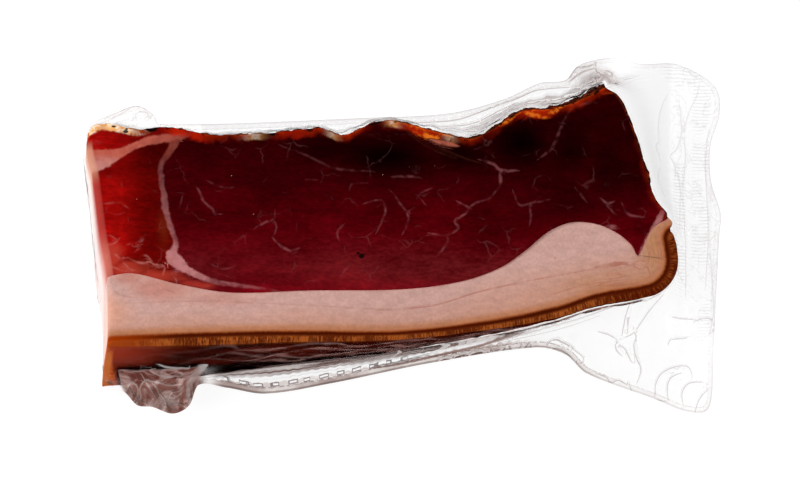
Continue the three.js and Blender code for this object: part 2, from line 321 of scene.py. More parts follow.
def finish(piece, material, slotName, *nodes):
    bpy.ops.object.shade_smooth()
    piece.data.materials.clear()
    piece.data.materials.append(material)
    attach(piece, "root")
    if nodes:
        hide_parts(*nodes)


lineSteps = {"length": 0.8, "fewest": 6}


def drawn(lines):
    # each line as even points with a half width and a strength, which a path may give point by point
    ready = []
    for halfWidth, strength, path in lines:
        length = sum(math.dist(p[:2], q[:2]) for p, q in zip(path[:-1], path[1:]))
        points, _ = evenCurve(path, max(lineSteps["fewest"], round(length / lineSteps["length"])))
        if points.shape[1] == 2:
            t = np.linspace(0, 1, len(points))
            taper = halfWidth * (0.3 + 0.7 * np.clip(np.sin(math.pi * t), 0, 1) ** 0.6)
            points = np.column_stack([points, taper])
        if points.shape[1] == 3:
            points = np.column_stack([points, np.full(len(points), strength)])
        ready.append(points)
    return ready


def nearLines(lines, flat, margin=3.0):
    # for each place: the signed and the plain distance to the nearest line, its half width and strength
    best, away, signed = (np.full(len(flat), farOff) for _ in range(3))
    width, strength = np.ones(len(flat)), np.zeros(len(flat))
    for points in drawn(lines):
        room = margin + points[:, 2].max()
        low, high = points[:, :2].min(0) - room, points[:, :2].max(0) + room
        near = np.flatnonzero(((flat > low) & (flat < high)).all(1))
        for (x0, y0, w0, s0), (x1, y1, w1, s1) in zip(points[:-1], points[1:]):
            dx, dy = x1 - x0, y1 - y0
            px, py = flat[near, 0] - x0, flat[near, 1] - y0
            t = np.clip((px * dx + py * dy) / (dx * dx + dy * dy), 0, 1)
            gap, here = np.hypot(px - t * dx, py - t * dy), lerp(w0, w1, t)
            nearer = gap - here < best[near]
            some = near[nearer]
            best[some], away[some], width[some] = (gap - here)[nearer], gap[nearer], here[nearer]
            signed[some] = (np.sign(px * dy - py * dx) * gap)[nearer]
            strength[some] = lerp(s0, s1, t)[nearer]
    return signed, away, width, strength


def zones(spots, flat):
    # soft spots, each (x, y, radius along, radius across, strength)
    total = np.zeros(len(flat))
    for x, y, rx, ry, strength in spots:
        away = ((flat[:, 0] - x) / rx) ** 2 + ((flat[:, 1] - y) / ry) ** 2
        total = np.maximum(total, strength * np.exp(-away))
    return total


def stretches(spots, x):
    # soft stretches of an edge, each (x, half length, strength)
    return zones([(at, 0, half, 1, strength) for at, half, strength in spots], pair(x, 0))


# how materials are wired
wiring = {"tree": None, "look": None}       # the material that is being wired, and its colours by name


def newMaterial(name, look=None):
    material = bpy.data.materials.new(name)
    material.use_nodes = True
    material.node_tree.nodes.clear()
    wiring.update(tree=material.node_tree, look=look)
    return material


def add(kind, links=None, **settings):
    tree = wiring["tree"]
    node = tree.nodes.new("ShaderNode" + kind)
    for key, value in settings.items():
        setattr(node, key, value)
    for key, value in (links or {}).items():
        if isinstance(value, bpy.types.NodeSocket):
            tree.links.new(value, node.inputs[key])
        else:
            node.inputs[key].default_value = value
    return node


def wire(kind, links=None, **settings):
    return add(kind, links, **settings).outputs[0]


def sums(operation, a, b=0.0, c=0.0):
    return wire("Math", {0: a, 1: b, 2: c}, operation=operation)


def plus(a, b):
    return sums("ADD", a, b)


def minus(a, b):
    return sums("SUBTRACT", a, b)


def timesPlus(a, b, c):
    return sums("MULTIPLY_ADD", a, b, c)


def larger(a, b):
    return sums("MAXIMUM", a, b)


def size(a):
    return sums("ABSOLUTE", a)


def times(*factors):
    product = factors[0]
    for factor in factors[1:]:
        product = sums("MULTIPLY", product, factor)
    return product


def between(value, low, high, first=0.0, last=1.0):
    # a smooth step from first to last as value goes from low to high
    links = {"Value": value, "From Min": low, "From Max": high, "To Min": first, "To Max": last}
    return add("MapRange", links, interpolation_type="SMOOTHSTEP").outputs["Result"]


def blend(share, a, b, how="MIX"):
    # the tones are sockets, or names of colours in the piece's own dictionary
    def tone(value):
        return value if isinstance(value, bpy.types.NodeSocket) else (*wiring["look"][value], 1)
    links = {0: share, 6: tone(a), 7: tone(b)}
    return add("Mix", links, data_type="RGBA", blend_type=how).outputs[2]


def scaled(tone, factor):
    return wire("VectorMath", {0: tone, "Scale": factor}, operation="SCALE")


def flow(x, y, z=0.0):
    return wire("CombineXYZ", {0: x, 1: y, 2: z})


def noise(place, scale, detail=2.0, roughness=0.5, distortion=0.0):
    links = {"Vector": place, "Scale": scale, "Detail": detail, "Roughness": roughness}
    return wire("TexNoise", {**links, "Distortion": distortion})


def grain(place, scale, detail=3.0, stretch=(1, 1, 1), roughness=0.5, distortion=0.0):
    return noise(wire("Mapping", {"Vector": place, "Scale": stretch}), scale, detail, roughness, distortion)


def swing(pattern, reach):
    # noise moved to swing about zero
    return timesPlus(pattern, reach, -reach / 2)


def painted(name):
    node = add("Attribute", attribute_name=name)
    split = add("SeparateColor", {0: node.outputs["Color"]})
    return *(split.outputs[k] for k in range(3)), node.outputs["Alpha"]


def lineShare(name, place, softness=0.2, wobble=0.5, scale=600):
    # how far a place lies in the lines drawn on a piece, with the line's half width and strength
    signed, away, width, strength = painted(name)
    loose = between(width, 0.0, 1.2, 0.15, 0.9)
    strays = times(swing(grain(place, scale, 3), 2 * wobble), loose)
    reach = size(plus(signed, strays))
    share = between(minus(width, reach), -softness, softness)
    share = times(share, between(minus(away, width), 1.0, 0.5))
    return share, width, strength


def meatSurface(tone, bump, strength, roughness):
    links = {"Height": bump, "Strength": strength, "Distance": 0.0004}
    normal = wire("Bump", links)
    links = {"Base Color": tone, "Roughness": roughness, "Specular IOR Level": 0.0, "Normal": normal}
    add("OutputMaterial", {0: wire("BsdfPrincipled", links)})


# the meat: two layers of one slab
meat = {
    "stepsAlong": 330,
    "stepsLean": 112,
    "stepsFat": 46,
    "levels": [0, 0.15, 0.4, 0.8, 1.6, 4, 8, 12, 16, 20, 24, 28, 32, 36, 40, 43.4, 44.2, 44.6, 44.85, 45],
    "wallFrom": 0.3,            # the sides begin this far from a cut face
    "crustGrit": 0.5,           # how deep the smoked crust is pitted
    "rindPores": 0.2,
    "veinSlant": 4,             # the veins run on through the slab, aslant by this much
    "rindEnd": 4,               # the rind stops this far short of the lean
    # the rind's orange end is painted glow
    "endSlant": 5,              # its orange end widens by this much towards the back
}
# how thick the rind is, each (x, thickness)
rindCut = [
    (-92, 2.8), (-78, 3.3), (-57, 3.7), (-41, 3.6), (-21, 3.2), (-1, 2.95), (25, 2.7), (52, 3.2), (78, 4.1),
    (99, 4.3),
]


def slabLayer(name, stepsAcross, lowV, highV):
    # one layer between two heights of the slab, with what the materials need to know of each point
    levels = np.array(meat["levels"], float)
    box = gridBox(name, meat["stepsAlong"], stepsAcross, len(levels))
    start = readPoints(box)
    u, share = start[:, 0] + 0.5, start[:, 1] + 0.5
    z = levels[np.round(start[:, 2]).astype(int)]
    tiny = 1e-9
    isFat = lowV == 0
    v = np.clip(lerp(lowV, highV, share), lowV + (0 if isFat else tiny), highV - (tiny if isFat else 0))
    points, flat = slabPoint(u, v, z)
    openSide = share if isFat else 1 - share
    fade = slab["swellFade"]
    inside = smooth(0, fade, u) * smooth(0, fade, 1 - u) * smooth(0, fade, openSide)
    points[:, 2] += np.where(z == slab["thickness"], faceRelief(flat) * inside, 0)
    nearestSide = np.minimum(np.minimum(u, 1 - u), openSide)
    onWall = (nearestSide < onEdge) & (z > meat["wallFrom"]) & (z < slab["thickness"] - meat["wallFrom"])
    return box, points, flat, u, openSide, z, onWall


# wide seams of fat in the left end, each (x, y, half width, strength)
topSeam = [
    (-99, 21.5, 4, 0.9), (-96.5, 21.5, 3.8, 0.9), (-95, 21.7, 3.5, 0.95), (-92, 22.5, 2.9, 0.95),
    (-90, 23.2, 2.2, 0.95), (-88, 24, 1.65, 0.95), (-85, 25.5, 1.2, 0.9), (-81.5, 27.2, 1.2, 0.85),
    (-78.5, 28.5, 1.4, 0.8), (-76, 29, 1.55, 0.7), (-72.5, 29.6, 1.35, 0.6), (-69.5, 30, 1.3, 0.55),
    (-66.5, 30.6, 1, 0.35), (-63.5, 31.5, 0.5, 0.1),
]
downSeam = [
    (-68.5, 29, 0.9, 0.34), (-69.6, 27.5, 1.15, 0.32), (-71.4, 24.5, 1, 0.27), (-73.2, 22, 0.85, 0.25),
    (-74, 19, 0.8, 0.25), (-73.6, 16.5, 0.82, 0.25), (-73.4, 13.5, 0.87, 0.28), (-72.6, 10.5, 0.95, 0.33),
    (-72.3, 6.5, 1, 0.38), (-71, 2, 0.85, 0.44), (-69.6, -2, 0.8, 0.54), (-68.6, -5.5, 0.8, 0.66),
    (-69.2, -8, 1.3, 0.76), (-69.8, -10, 2, 0.85), (-67.8, -12, 2.2, 0.92), (-65, -14.3, 1.3, 0.88),
    (-61, -16.4, 1, 0.8), (-55.5, -18.4, 0.75, 0.7), (-48, -19.4, 0.6, 0.6), (-40, -20.3, 0.42, 0.45),
    (-33.5, -21.3, 0.2, 0.2),
]
# fat in the lean: (half width, strength, path)
veinLines = [
    (0, 1, topSeam),
    (0, 1, downSeam),
    (0, 1, [(93, 8, 0.7, 0.6), (91.5, 4.5, 1, 0.7), (89.5, 1, 0.85, 0.75), (87.5, -2.5, 0.8, 0.8),
        (85.5, -6, 0.5, 0.7), (84.5, -7, 0.25, 0.5)]),
    (0.26, 0.7, [(-93, -6.8), (-91, -6.5), (-88.5, -6), (-87, -4.5)]),
    (0.22, 0.5, [(-91.5, -3.5), (-90, -3.5), (-88.5, -4.5)]),
    (0.26, 0.8, [(-91.5, -12.5), (-90.5, -9.5), (-88, -10), (-86.5, -11.5), (-85, -13), (-83.5, -14.5),
        (-82, -15)]),
    (0.29, 0.9, [(-86.5, -11), (-84, -11), (-82, -12), (-79, -12.5), (-77, -12), (-75.5, -13), (-73, -13),
        (-72, -14), (-72.5, -16)]),
    (0.22, 0.75, [(-89, -14), (-86.5, -15), (-83.5, -15.5)]),
    (0.7, 0.4, [(-81, -5.5), (-80, -5), (-79, -3.5)]),
    (0.3, 0.35, [(-84.5, -6.5), (-83.5, -6)]),
    (0.22, 0.5, [(-82.5, -7), (-80, -7), (-81.5, -8.5)]),
    (0.22, 0.7, [(-79.5, -10), (-78, -10), (-76.5, -11.5)]),
    (0.22, 0.7, [(-78.5, -12.5), (-77.5, -14), (-77.5, -15.5)]),
    (0.22, 0.6, [(-75.5, -13), (-75.5, -13.5), (-73.5, -14)]),
    (0.21, 0.6, [(-68.5, -13), (-69, -14.5)]),
    (0.21, 0.6, [(-70, -15.5), (-66.5, -15)]),
    (0.22, 0.7, [(-70, -15.5), (-68.5, -17.5), (-68, -19)]),
    (0.26, 0.35, [(-93, 7), (-89.5, 7.5), (-87, 7.5), (-84.5, 6)]),
    (0.33, 0.45, [(-62, 13.5), (-60.5, 11), (-59.5, 8.5), (-56.5, 6), (-56, 4.5), (-54, 4.5)]),
    (0.25, 0.2, [(-58.5, 15.5), (-53.5, 13.5), (-49.5, 13.5)]),
    (0.17, 0.25, [(-66.5, 10.5), (-67.5, 6.5)]),
    (0.28, 0.4, [(-36, 5.5), (-36.5, 3), (-39, 2), (-42.5, 0)]),
    (0.22, 0.3, [(-36.5, 3), (-35.5, 0.5), (-36.2, -2)]),
    (0.33, 0.5, [(-36.5, -3.5), (-34, -6), (-31, -7.5), (-29, -9)]),
    (0.25, 0.35, [(-31, -7.5), (-28, -6.5)]),
    (0.2, 0.25, [(-54.5, -9), (-54, -14)]),
    (0.2, 0.22, [(-58, -12), (-53, -14), (-49, -13)]),
    (0.35, 0.16, [(-34.5, 28), (-26.5, 25), (-21, 22.5), (-15.5, 20.5), (-3.5, 20)]),
    (0.4, 0.3, [(-19, 21.3), (-16.5, 20.6), (-13, 20.2)]),
    (0.4, 0.32, [(2.5, 18.2), (8, 18.6), (12, 18.3)]),
    (0.28, 0.4, [(-6.5, 9), (-3.5, 10), (-0.5, 10), (0.5, 6.5), (-0.5, 3.5), (-2.5, -1)]),
    (0.28, 0.4, [(2, 13.5), (3.5, 12), (5, 9.5), (7.5, 6), (8, 3), (6, -1.5)]),
    (0.22, 0.3, [(7.5, 6), (9.5, 7.5)]),
    (0.25, 0.35, [(15.5, 14.5), (13.5, 13.5), (11.5, 12), (13.5, 9)]),
    (0.33, 0.5, [(24.5, 10), (28, 8), (27, 6), (23.5, 3.5), (24.5, 1), (20.5, -1.5), (15, -1)]),
    (0.28, 0.4, [(28, 8), (31, 10), (35.5, 11.5)]),
    (0.28, 0.4, [(20.5, -1.5), (21, -4), (17.5, -8.5)]),
    (0.28, 0.35, [(-13.5, 1.5), (-15.5, -1), (-15, -3.5)]),
    (0.2, 0.22, [(-11.5, 13.5), (-10.5, 15.5), (-6, 16)]),
    (0.2, 0.2, [(-26, 16.5), (-22.5, 16.5)]),
    (0.45, 0.22, [(63, 43), (60, 38), (56.5, 29.5), (54, 27), (51.5, 25)]),
    (0.25, 0.2, [(63, 44), (71, 45)]),
    (0.5, 0.42, [(32, 24.5), (36.5, 23), (39, 21), (44.5, 21)]),
    (0.55, 0.42, [(39, 21.4), (38.8, 18), (38.5, 15.5)]),
    (0.25, 0.25, [(38.5, 15.5), (35, 11)]),
    (0.3, 0.3, [(43, 14), (45, 9.5), (48.5, 10), (55, 11.5)]),
    (0.3, 0.3, [(48.5, 10), (49, 5.5), (48.5, 3)]),
    (0.4, 0.45, [(72.5, 12), (74.5, 10.5), (76.5, 11)]),
    (0.3, 0.4, [(74, 10.5), (75.5, 8.5), (77, 7)]),
    (0.35, 0.4, [(79.5, 10.5), (81.5, 7), (86.5, 6)]),
    (0.25, 0.25, [(64, 15.5), (67.5, 11)]),
    (0.8, 0.5, [(74, 2.7), (76, 2.6), (78, 2.2)]),
]
# streaks of painted glow under the crust, as if light shone through the meat: below 0 they are flame orange,
# above it salmon
glowLines = [
    (0.4, -0.7, [(12, 35), (14.5, 34.3), (17, 33.5), (19.5, 33), (22.5, 32.6)]),
    (0.75, 0.75, [(15, 31.6), (17, 30.8), (19.5, 30.2), (22, 29.8), (24.5, 29.2)]),
    (0.9, -0.95, [(10.5, 33.6), (12.5, 32.9), (15.5, 32.2), (18.5, 31.6)]),
    (0.45, -0.6, [(6.5, 36.5), (9.5, 35.5), (13, 35.2), (16, 35)]),
    (0.8, -0.75, [(46.5, 41.8), (49, 40.6), (52.5, 39.7), (55.5, 39.6)]),
    (0.7, -0.75, [(54.5, 41), (57, 41.4), (59, 43.2), (62, 44.6)]),
    (0.35, -0.6, [(50.5, 42.4), (54, 42.4), (56.5, 41.8)]),
    (0.28, -0.7, [(74, 48.2), (77, 48.6), (79, 47.5), (80.6, 45.5)]),
    (0.5, -0.8, [(38.5, 36.5), (41.5, 38), (43.5, 40.2), (46, 41.2)]),
    (0.2, 0.05, [(6.5, 35), (10.5, 31.5), (14.5, 29), (18.5, 27), (23.5, 25)]),
    (0.2, 0.05, [(14, 30.5), (20, 28), (27, 25), (32, 23.5)]),
    (0.5, -0.5, [(90, 18.5), (90.8, 16), (92.4, 12)]),
    (0.25, 0.3, [(90.5, 17), (91.5, 13.5), (92.5, 10.5)]),
]
leanLook = {
    "lowLevel": 0.135,          # how bright the red is just above the fat
    "fading": 30,               # millimetres over which it darkens upwards
    "hue": (1, 0.004, 0.028),
    "filmSheenHue": (1, 0.06, 0.075),
    "leftHue": (1, 0.009, 0.007),
    "salmon": (0.4, 0.036, 0.022),
    "vein": (0.44, 0.165, 0.165),
    "strip": (0.43, 0.095, 0.066),
    "stripEnd": (0.5, 0.19, 0.15),
    "glint": (0.6, 0.3, 0.24),
    "glow": (0.32, 0.014, 0.0005),
    "oliveBrown": (0.13, 0.012, 0.003),
    "glowSalmon": (0.46, 0.12, 0.075),
    "glowFlame": (0.72, 0.16, 0.012),
    "thinVein": (0.45, 0.14, 0.12),
    "darkVein": (0.36, 0.11, 0.12),
    "amber": (0.7, 0.16, 0.02),
    "edge": (0.5, 0.12, 0.03),
    "glowRed": (0.4, 0.012, 0.002),
    "cream": (0.93, 0.75, 0.56),
    "creamAmber": (0.8, 0.4, 0.13),
    "creamBrown": (0.42, 0.09, 0.025),
    "char": (0.004, 0.002, 0.002),
    "crust": (0.03, 0.005, 0.002),
    "crustRed": (0.16, 0.02, 0.004),
    "endLow": (0.56, 0.17, 0.13),
    "endMiddle": (0.4, 0.055, 0.045),
    "endHigh": (0.62, 0.3, 0.2),
    "endBacklitPale": (0.92, 0.74, 0.7),
}
darkSpots = [
    (1, 25, 22, 8.5, 0.97), (24, 27, 14, 9, 0.82), (46, 31, 13, 10, 0.97), (62, 29, 11, 12, 0.78),
    (75, 22, 12, 18, 0.72), (-20, 27, 14, 7, 0.6), (84, 18, 6, 14, 0.15), (62, 12, 16, 10, 0.6),
    (32, 1, 10, 8, 0.3), (14, -6, 10, 6, 0.2),
]
# where a painted film sheen lies on the lean
filmSheenSpots = [(20, -12, 70, 8, 1), (-88, 5, 6, 30, 0.1), (-62, -14, 18, 8, 0.8), (-77.5, -6, 3, 1.6, 1)]
salmonSpots = [
    (-90, -11, 4.5, 5, 1), (-84, -14.5, 7, 3.5, 0.9), (-74, -17, 10, 3, 0.85), (-62, -19.8, 9, 2, 0.6),
]
brownSpots = [(-72.5, -1, 1.8, 6, 0.8), (-80, -13.5, 4, 2.2, 0.5), (-70, -17.5, 5, 2, 0.5)]
# stretches of the rim with painted glow under the crust
glowStretches = [
    (-23, 4.5, 0.8), (-11.5, 5, 1), (3.5, 3.5, 0.9), (14.5, 8, 0.9), (28, 5, 0.55), (40, 6, 0.5), (52, 6, 1),
    (65, 7, 0.85), (74, 5, 0.9), (-90, 9, 0.45), (-56, 4, 0.6), (-47, 4, 0.6), (-34, 2.5, 0.5),
]
charStretches = [
    (-77, 3.2, 0.9), (-72, 2.5, 0.6), (-37.5, 1.3, 0.8), (-3, 2.6, 1), (71.5, 1.1, 0.9), (43, 2, 0.6),
    (-25, 3, 0.6),
]
# stretches of the rim where cream fat and painted highlight show
creamAndHighlightStretches = [
    (-97, 5, 1), (-90, 5, 1), (-85.5, 3, 0.8), (3, 2, 0.45), (-17, 2, 0.3), (22, 1.8, 0.3), (-81, 2, 0.35),
    (-43, 3, 0.3),
]
# stretches of the rim painted bright red, as painted glow
redGlowStretches = [(-68, 4, 1), (-62.5, 3.5, 0.9), (10, 4, 0.7), (50, 5, 0.6), (-30, 5, 0.5)]
# single charred specks under the crust, and single white dots of painted highlight: (x, y, radius along,
# radius across, strength)
charSpecks = [
    (-89.6, 33.4, 0.9, 0.5, 1), (-85.6, 31.7, 1.2, 0.7, 1), (-94, 34.6, 0.8, 0.4, 1),
    (-81.5, 33.2, 1, 0.4, 1), (-7.5, -9, 1.1, 0.9, 1), (-8.6, -8, 0.6, 0.5, 1), (-97.6, 32.5, 0.5, 0.4, 0.9),
]
glintSpecks = [
    (-64.5, 22), (-81.5, 9), (-77.5, 15.5), (-0.5, 19), (8.5, 22), (17, 22.5), (6, 24.5), (-50.5, 17.5),
    (32, 34.5), (-43, 4.5), (-33.5, -1.5),
]


def leanLevels(flat):
    # how bright the red is, with the left end painted brighter as if lit from behind; how much a painted
    # film sheen pales it; and how much of it belongs to the left end
    x, y = flat[:, 0], flat[:, 1]
    above = np.maximum(y - through(fatLine, x), 0)
    level = leanLook["lowLevel"] * np.exp(-above / leanLook["fading"]) * lerp(1, 0.6, smooth(20, 50, x))
    level *= 1 - 0.96 * zones(darkSpots, flat)
    seam = byHeight([p[:2] for p in downSeam[:14]])
    leftward = smooth(0.5, -0.5, x - through(seam, np.clip(y, seam[0][0], seam[-1][0])))
    # painted backlight: the left end is painted brighter towards its edge, less so higher up
    bright = lerp(0.1, 0.29, smooth(-77, -91, x)) * lerp(1, 0.5, smooth(12, 21, y))
    stripHeight = through([p[:2] for p in topSeam], np.clip(x, topSeam[0][0], topSeam[-1][0]))
    bright = lerp(bright, lerp(0.25, 0.12, smooth(-95, -80, x)), smooth(0, 1, y - stripHeight))
    return lerp(level, bright, leftward), zones(filmSheenSpots, flat), leftward


def makeLean():
    box, points, flat, u, openSide, z, onWall = slabLayer("leanMeat", meat["stepsLean"], slab["fatShare"], 1)
    depth = 1 - z / slab["thickness"]
    toDarkEnd = through(byHeight(darkEndLine), flat[:, 1]) - flat[:, 0]
    toLeftEnd = flat[:, 0] - through(byHeight(leftEndLine), flat[:, 1])
    crustSide = onWall & ((openSide < onEdge) | (u > 1 - onEdge))
    grit = rough(points[:, 0] / 2.3 + points[:, 1] / 3, points[:, 2] / 2.1, 11, 4)
    outward = writePoints(box, points)
    writePoints(box, points + outward * (crustSide * meat["crustGrit"] * (grit - 1))[:, None])
    drawnOn = pair(flat[:, 0] + meat["veinSlant"] * depth, flat[:, 1])
    paint(box, "veins", *nearLines(veinLines, drawnOn))
    paint(box, "glows", *nearLines(glowLines, drawnOn))
    paint(box, "tone", *leanLevels(flat), zones(salmonSpots, flat))
    # white dots of painted highlight
    dots = zones([(x, y, 0.3, 0.3, 1) for x, y in glintSpecks], flat)
    redGlow = stretches(redGlowStretches, flat[:, 0])
    paint(box, "specks", zones(brownSpots, flat), zones(charSpecks, flat), dots, redGlow)
    rim = np.minimum(through(crustLine, flat[:, 0]) - flat[:, 1], 1.5 + toDarkEnd)
    # painted glow along the rim and beside the dark right end
    glow = np.maximum(stretches(glowStretches, flat[:, 0]), 0.5 * smooth(6, 2, toDarkEnd))
    paint(box, "rim", rim, glow, stretches(charStretches, flat[:, 0]), crustSide)
    cream = stretches(creamAndHighlightStretches, flat[:, 0])
    paint(box, "ends", smooth(1.95, 1.5, toLeftEnd), depth, cream, flat[:, 1])
    finish(box, leanMaterial(), "lean", "lean_meat")


def leanMaterial():
    material = newMaterial("curedLean", leanLook)
    place = add("TexCoord").outputs["Object"]
    level, filmSheen, leftward, salmon = painted("tone")
    rim, glow, char, crustSide = painted("rim")
    leftEnd, depth, creamAndHighlight, height = painted("ends")
    brown, burnt, white, redGlow = painted("specks")
    broad = grain(place, 42, 3, (1, 1.6, 1))
    fibre = grain(place, 240, 4, (0.4, 1.2, 0.6), 0.62)
    # broad tones, from bright red to nearly black
    fine = grain(place, 900, 3, (0.6, 1.2, 1), 0.6)
    level = times(level, between(broad, 0.3, 0.7, 0.8, 1.2), between(fibre, 0.3, 0.7, 0.82, 1.2))
    level = times(level, between(fine, 0.35, 0.7, 0.86, 1.2))
    # painted sheen: a paler, bluer red where the film's sheen lies on the meat
    hue = blend(times(filmSheen, between(level, 0.03, 0.12)), "hue", "filmSheenHue")
    hue = blend(leftward, hue, "leftHue")
    tone = scaled(hue, level)
    salmonShare = between(timesPlus(fibre, 0.9, salmon), 0.65, 1.25)
    tone = blend(times(salmonShare, 0.9), tone, "salmon")
    tone = blend(times(brown, between(fibre, 0.35, 0.6, 0.5, 1)), tone, "oliveBrown")
    # fine marbling that comes and goes
    astray = scaled(add("TexNoise", {"Vector": place, "Scale": 150, "Detail": 3.0}).outputs["Color"], 0.006)
    bent = wire("VectorMath", {0: place, 1: astray}, operation="ADD")
    bent = wire("Mapping", {"Vector": bent, "Scale": (1, 1.2, 0.25)})
    cells = wire("TexVoronoi", {"Vector": bent, "Scale": 110}, feature="DISTANCE_TO_EDGE")
    comes = between(grain(place, 130, 3), 0.52, 0.68)
    tone = blend(times(between(cells, 0.04, 0.0), comes, 0.07), tone, "vein")
    # veins and the wide seams of fat: thin veins are faint and broken
    inVein, width, strength = lineShare("veins", place, 0.42, 0.75)
    wide = between(width, 0.5, 1.0)
    patchy = between(grain(place, 380, 4), 0.38, 0.62, timesPlus(wide, 0.75, 0.12), 1.15)
    faint = timesPlus(wide, 0.3, 0.7)
    veinTone = blend(between(height, 19, 24), "vein", "strip")
    veinTone = blend(wide, blend(leftward, "darkVein", "thinVein"), veinTone)
    stripEnd = times(between(height, 24.5, 20), leftward, between(width, 1.6, 2.6))
    veinTone = blend(times(stripEnd, between(fibre, 0.35, 0.65, 0.5, 1.0)), veinTone, "stripEnd")
    tone = blend(times(inVein, strength, patchy, faint), tone, veinTone)
    # painted highlights: small white glints on the lean
    tone = blend(between(white, 0.45, 0.8, 0, 0.85), tone, "glint")
    # painted glow: under the smoked crust the rim is painted red, orange and amber as if light shone through
    # it, with charred grains on it
    strays = grain(place, 330, 4, (1, 1, 1), 0.6)
    ragged = plus(rim, swing(strays, 4.5))
    redShare = times(between(ragged, 4.2, 0.6), glow)
    tone = blend(times(redShare, 0.85), tone, "glow")
    tone = blend(times(between(ragged, 4.4, 2.4), redGlow, 0.9), tone, "glowRed")
    inGlow, _, tint = lineShare("glows", place, 0.5, 0.9, 300)
    inGlow = times(inGlow, size(tint), between(strays, 0.3, 0.6, 0.3, 1.0))
    flame = blend(between(strays, 0.4, 0.6), "glowRed", "glowFlame")
    glowing = blend(between(tint, 0.05, -0.05), "glowSalmon", flame)
    tone = blend(inGlow, tone, glowing)
    orangeShare = times(between(ragged, 1.35, -0.3), glow, between(strays, 0.35, 0.6, 0.25, 1.0))
    tone = blend(orangeShare, tone, "amber")
    edgeShare = between(plus(rim, swing(strays, 1.2)), 0.6, 0.1, 0, 0.6)
    tone = blend(edgeShare, tone, "edge")
    # along the rim, cream, amber and white: partly fat showing under the crust, partly painted highlight
    creamNoise = noise(place, 520, 4, 0.6)
    creamHighlightTone = blend(between(creamNoise, 0.42, 0.58), "creamAmber", "cream")
    creamHighlightTone = blend(between(strays, 0.56, 0.66), creamHighlightTone, "creamBrown")
    creamHighlightShare = between(plus(rim, swing(strays, 2.4)), 3.4, 2.4)
    tone = blend(times(creamHighlightShare, creamAndHighlight), tone, creamHighlightTone)
    grains = between(grain(place, 700, 2), 0.6, 0.66)
    charred = plus(char, times(grains, 0.6))
    charShare = times(between(ragged, 3.0, 0.8), charred)
    tone = blend(between(charShare, 0.3, 0.6), tone, "char")
    speckled = timesPlus(swing(strays, 1.2), 1.0, burnt)
    tone = blend(between(speckled, 0.4, 0.6, 0, 0.95), tone, "char")
    # the smoked crust, on the sides
    crust = blend(between(grain(place, 260, 4), 0.4, 0.7), "crust", "crustRed")
    crust = blend(between(grain(place, 900, 3), 0.5, 0.62), crust, "char")
    tone = blend(times(crustSide, timesPlus(creamAndHighlight, -0.85, 1.0)), tone, crust)
    # painted backlight: the left end is painted pale, as if light came through it
    endTone = blend(between(height, -12, 0), "endLow", "endMiddle")
    endTone = blend(between(height, 13, 20), endTone, "endHigh")
    endTone = blend(times(between(depth, 0.02, 0.45), 0.8), endTone, "endBacklitPale")
    endShare = timesPlus(between(depth, 0.0, 0.1), 0.3, 0.62)
    tone = blend(times(leftEnd, endShare, between(height, 29, 25)), tone, endTone)
    meatSurface(tone, fibre, 0.12, 0.5)
    return material


streakLines = [
    (0.25, 0.35, [(-84, -26), (-60, -25), (-30, -25.5), (0, -26.5), (15, -24.5)]),
    (0.25, 0.6, [(-2, -27), (16, -25), (32, -20), (51.5, -15.5), (64, -13), (73, -11)]),
    (0.8, 0.7, [(70, -11.3), (74, -10.8), (77, -10), (81, -9.5)]),
    (0.3, 0.8, [(78, -10), (82, -10.2), (85.5, -11.6), (87.6, -10.6), (88.5, -13)]),
    (0.35, 0.6, [(82, -10.4), (85, -8.6), (87.2, -9)]),
    (0.25, 0.5, [(55, -21), (66, -17.5), (78, -15.5), (84, -15)]),
    (0.4, 0.5, [(73, -14.2), (77, -13.4), (81, -14)]),
    (0.25, 0.5, [(70, -17.5), (80, -17), (87, -16)]),
    (0.25, 0.45, [(88.5, -3), (90.5, -7), (90, -12), (86, -16)]),
    (0.22, 0.4, [(90, 1), (92.3, -5), (92, -11), (88.5, -15.5)]),
    (0.25, 0.35, [(86.8, 0), (88.5, -5), (88.2, -9)]),
    (0.3, 0.3, [(-89, -21.5), (-86, -23.5), (-82, -24)]),
    (0.25, 0.3, [(-75.5, -18.5), (-71, -21.5), (-66, -23)]),
]
fatLook = {
    "pink": (0.525, 0.31, 0.27),
    "tan": (0.49, 0.25, 0.185),
    "nearRind": (0.42, 0.17, 0.085),
    "besideRind": (0.3, 0.07, 0.016),
    "flushed": (0.47, 0.21, 0.17),
    "cream": (0.43, 0.2, 0.1),
    "pale": (0.58, 0.29, 0.21),
    "streak": (0.33, 0.1, 0.065),
    "bleed": (0.42, 0.13, 0.11),
    "fleck": (0.36, 0.16, 0.05),
    "rindLine": (0.062, 0.006, 0.0008),
    "rindRed": (0.28, 0.03, 0.001),
    "rindGold": (0.36, 0.088, 0.016),
    "rindBrown": (0.1, 0.016, 0.003),
    "rindEnd": (0.07, 0.006, 0.0008),
    "skin": (0.012, 0.001, 0.0006),
    "skinRed": (0.05, 0.004, 0.0016),
    "skinWarm": (0.24, 0.026, 0.012),
    "skinOrange": (0.48, 0.09, 0.022),
    "skinAmber": (0.33, 0.05, 0.006),
    "endBacklitPale": (0.8, 0.58, 0.52),
    "endRind": (0.45, 0.12, 0.03),
}
creamSpots = [(90, -4, 5, 12, 1), (78, -14, 9, 3, 0.5), (88, -15, 8, 4, 0.7), (70, -17, 12, 4, 0.6)]
paleSpots = [(-91, -29, 9, 8, 1)]
flushedSpots = [(-84, -17.5, 6, 3.5, 1), (-74, -21, 13, 4.5, 1), (-55, -24, 14, 3, 0.6)]
fleckSpots = [(62, -3, 9, 6, 1), (50, -10, 8, 5, 0.6), (25, -22, 30, 4, 0.35)]


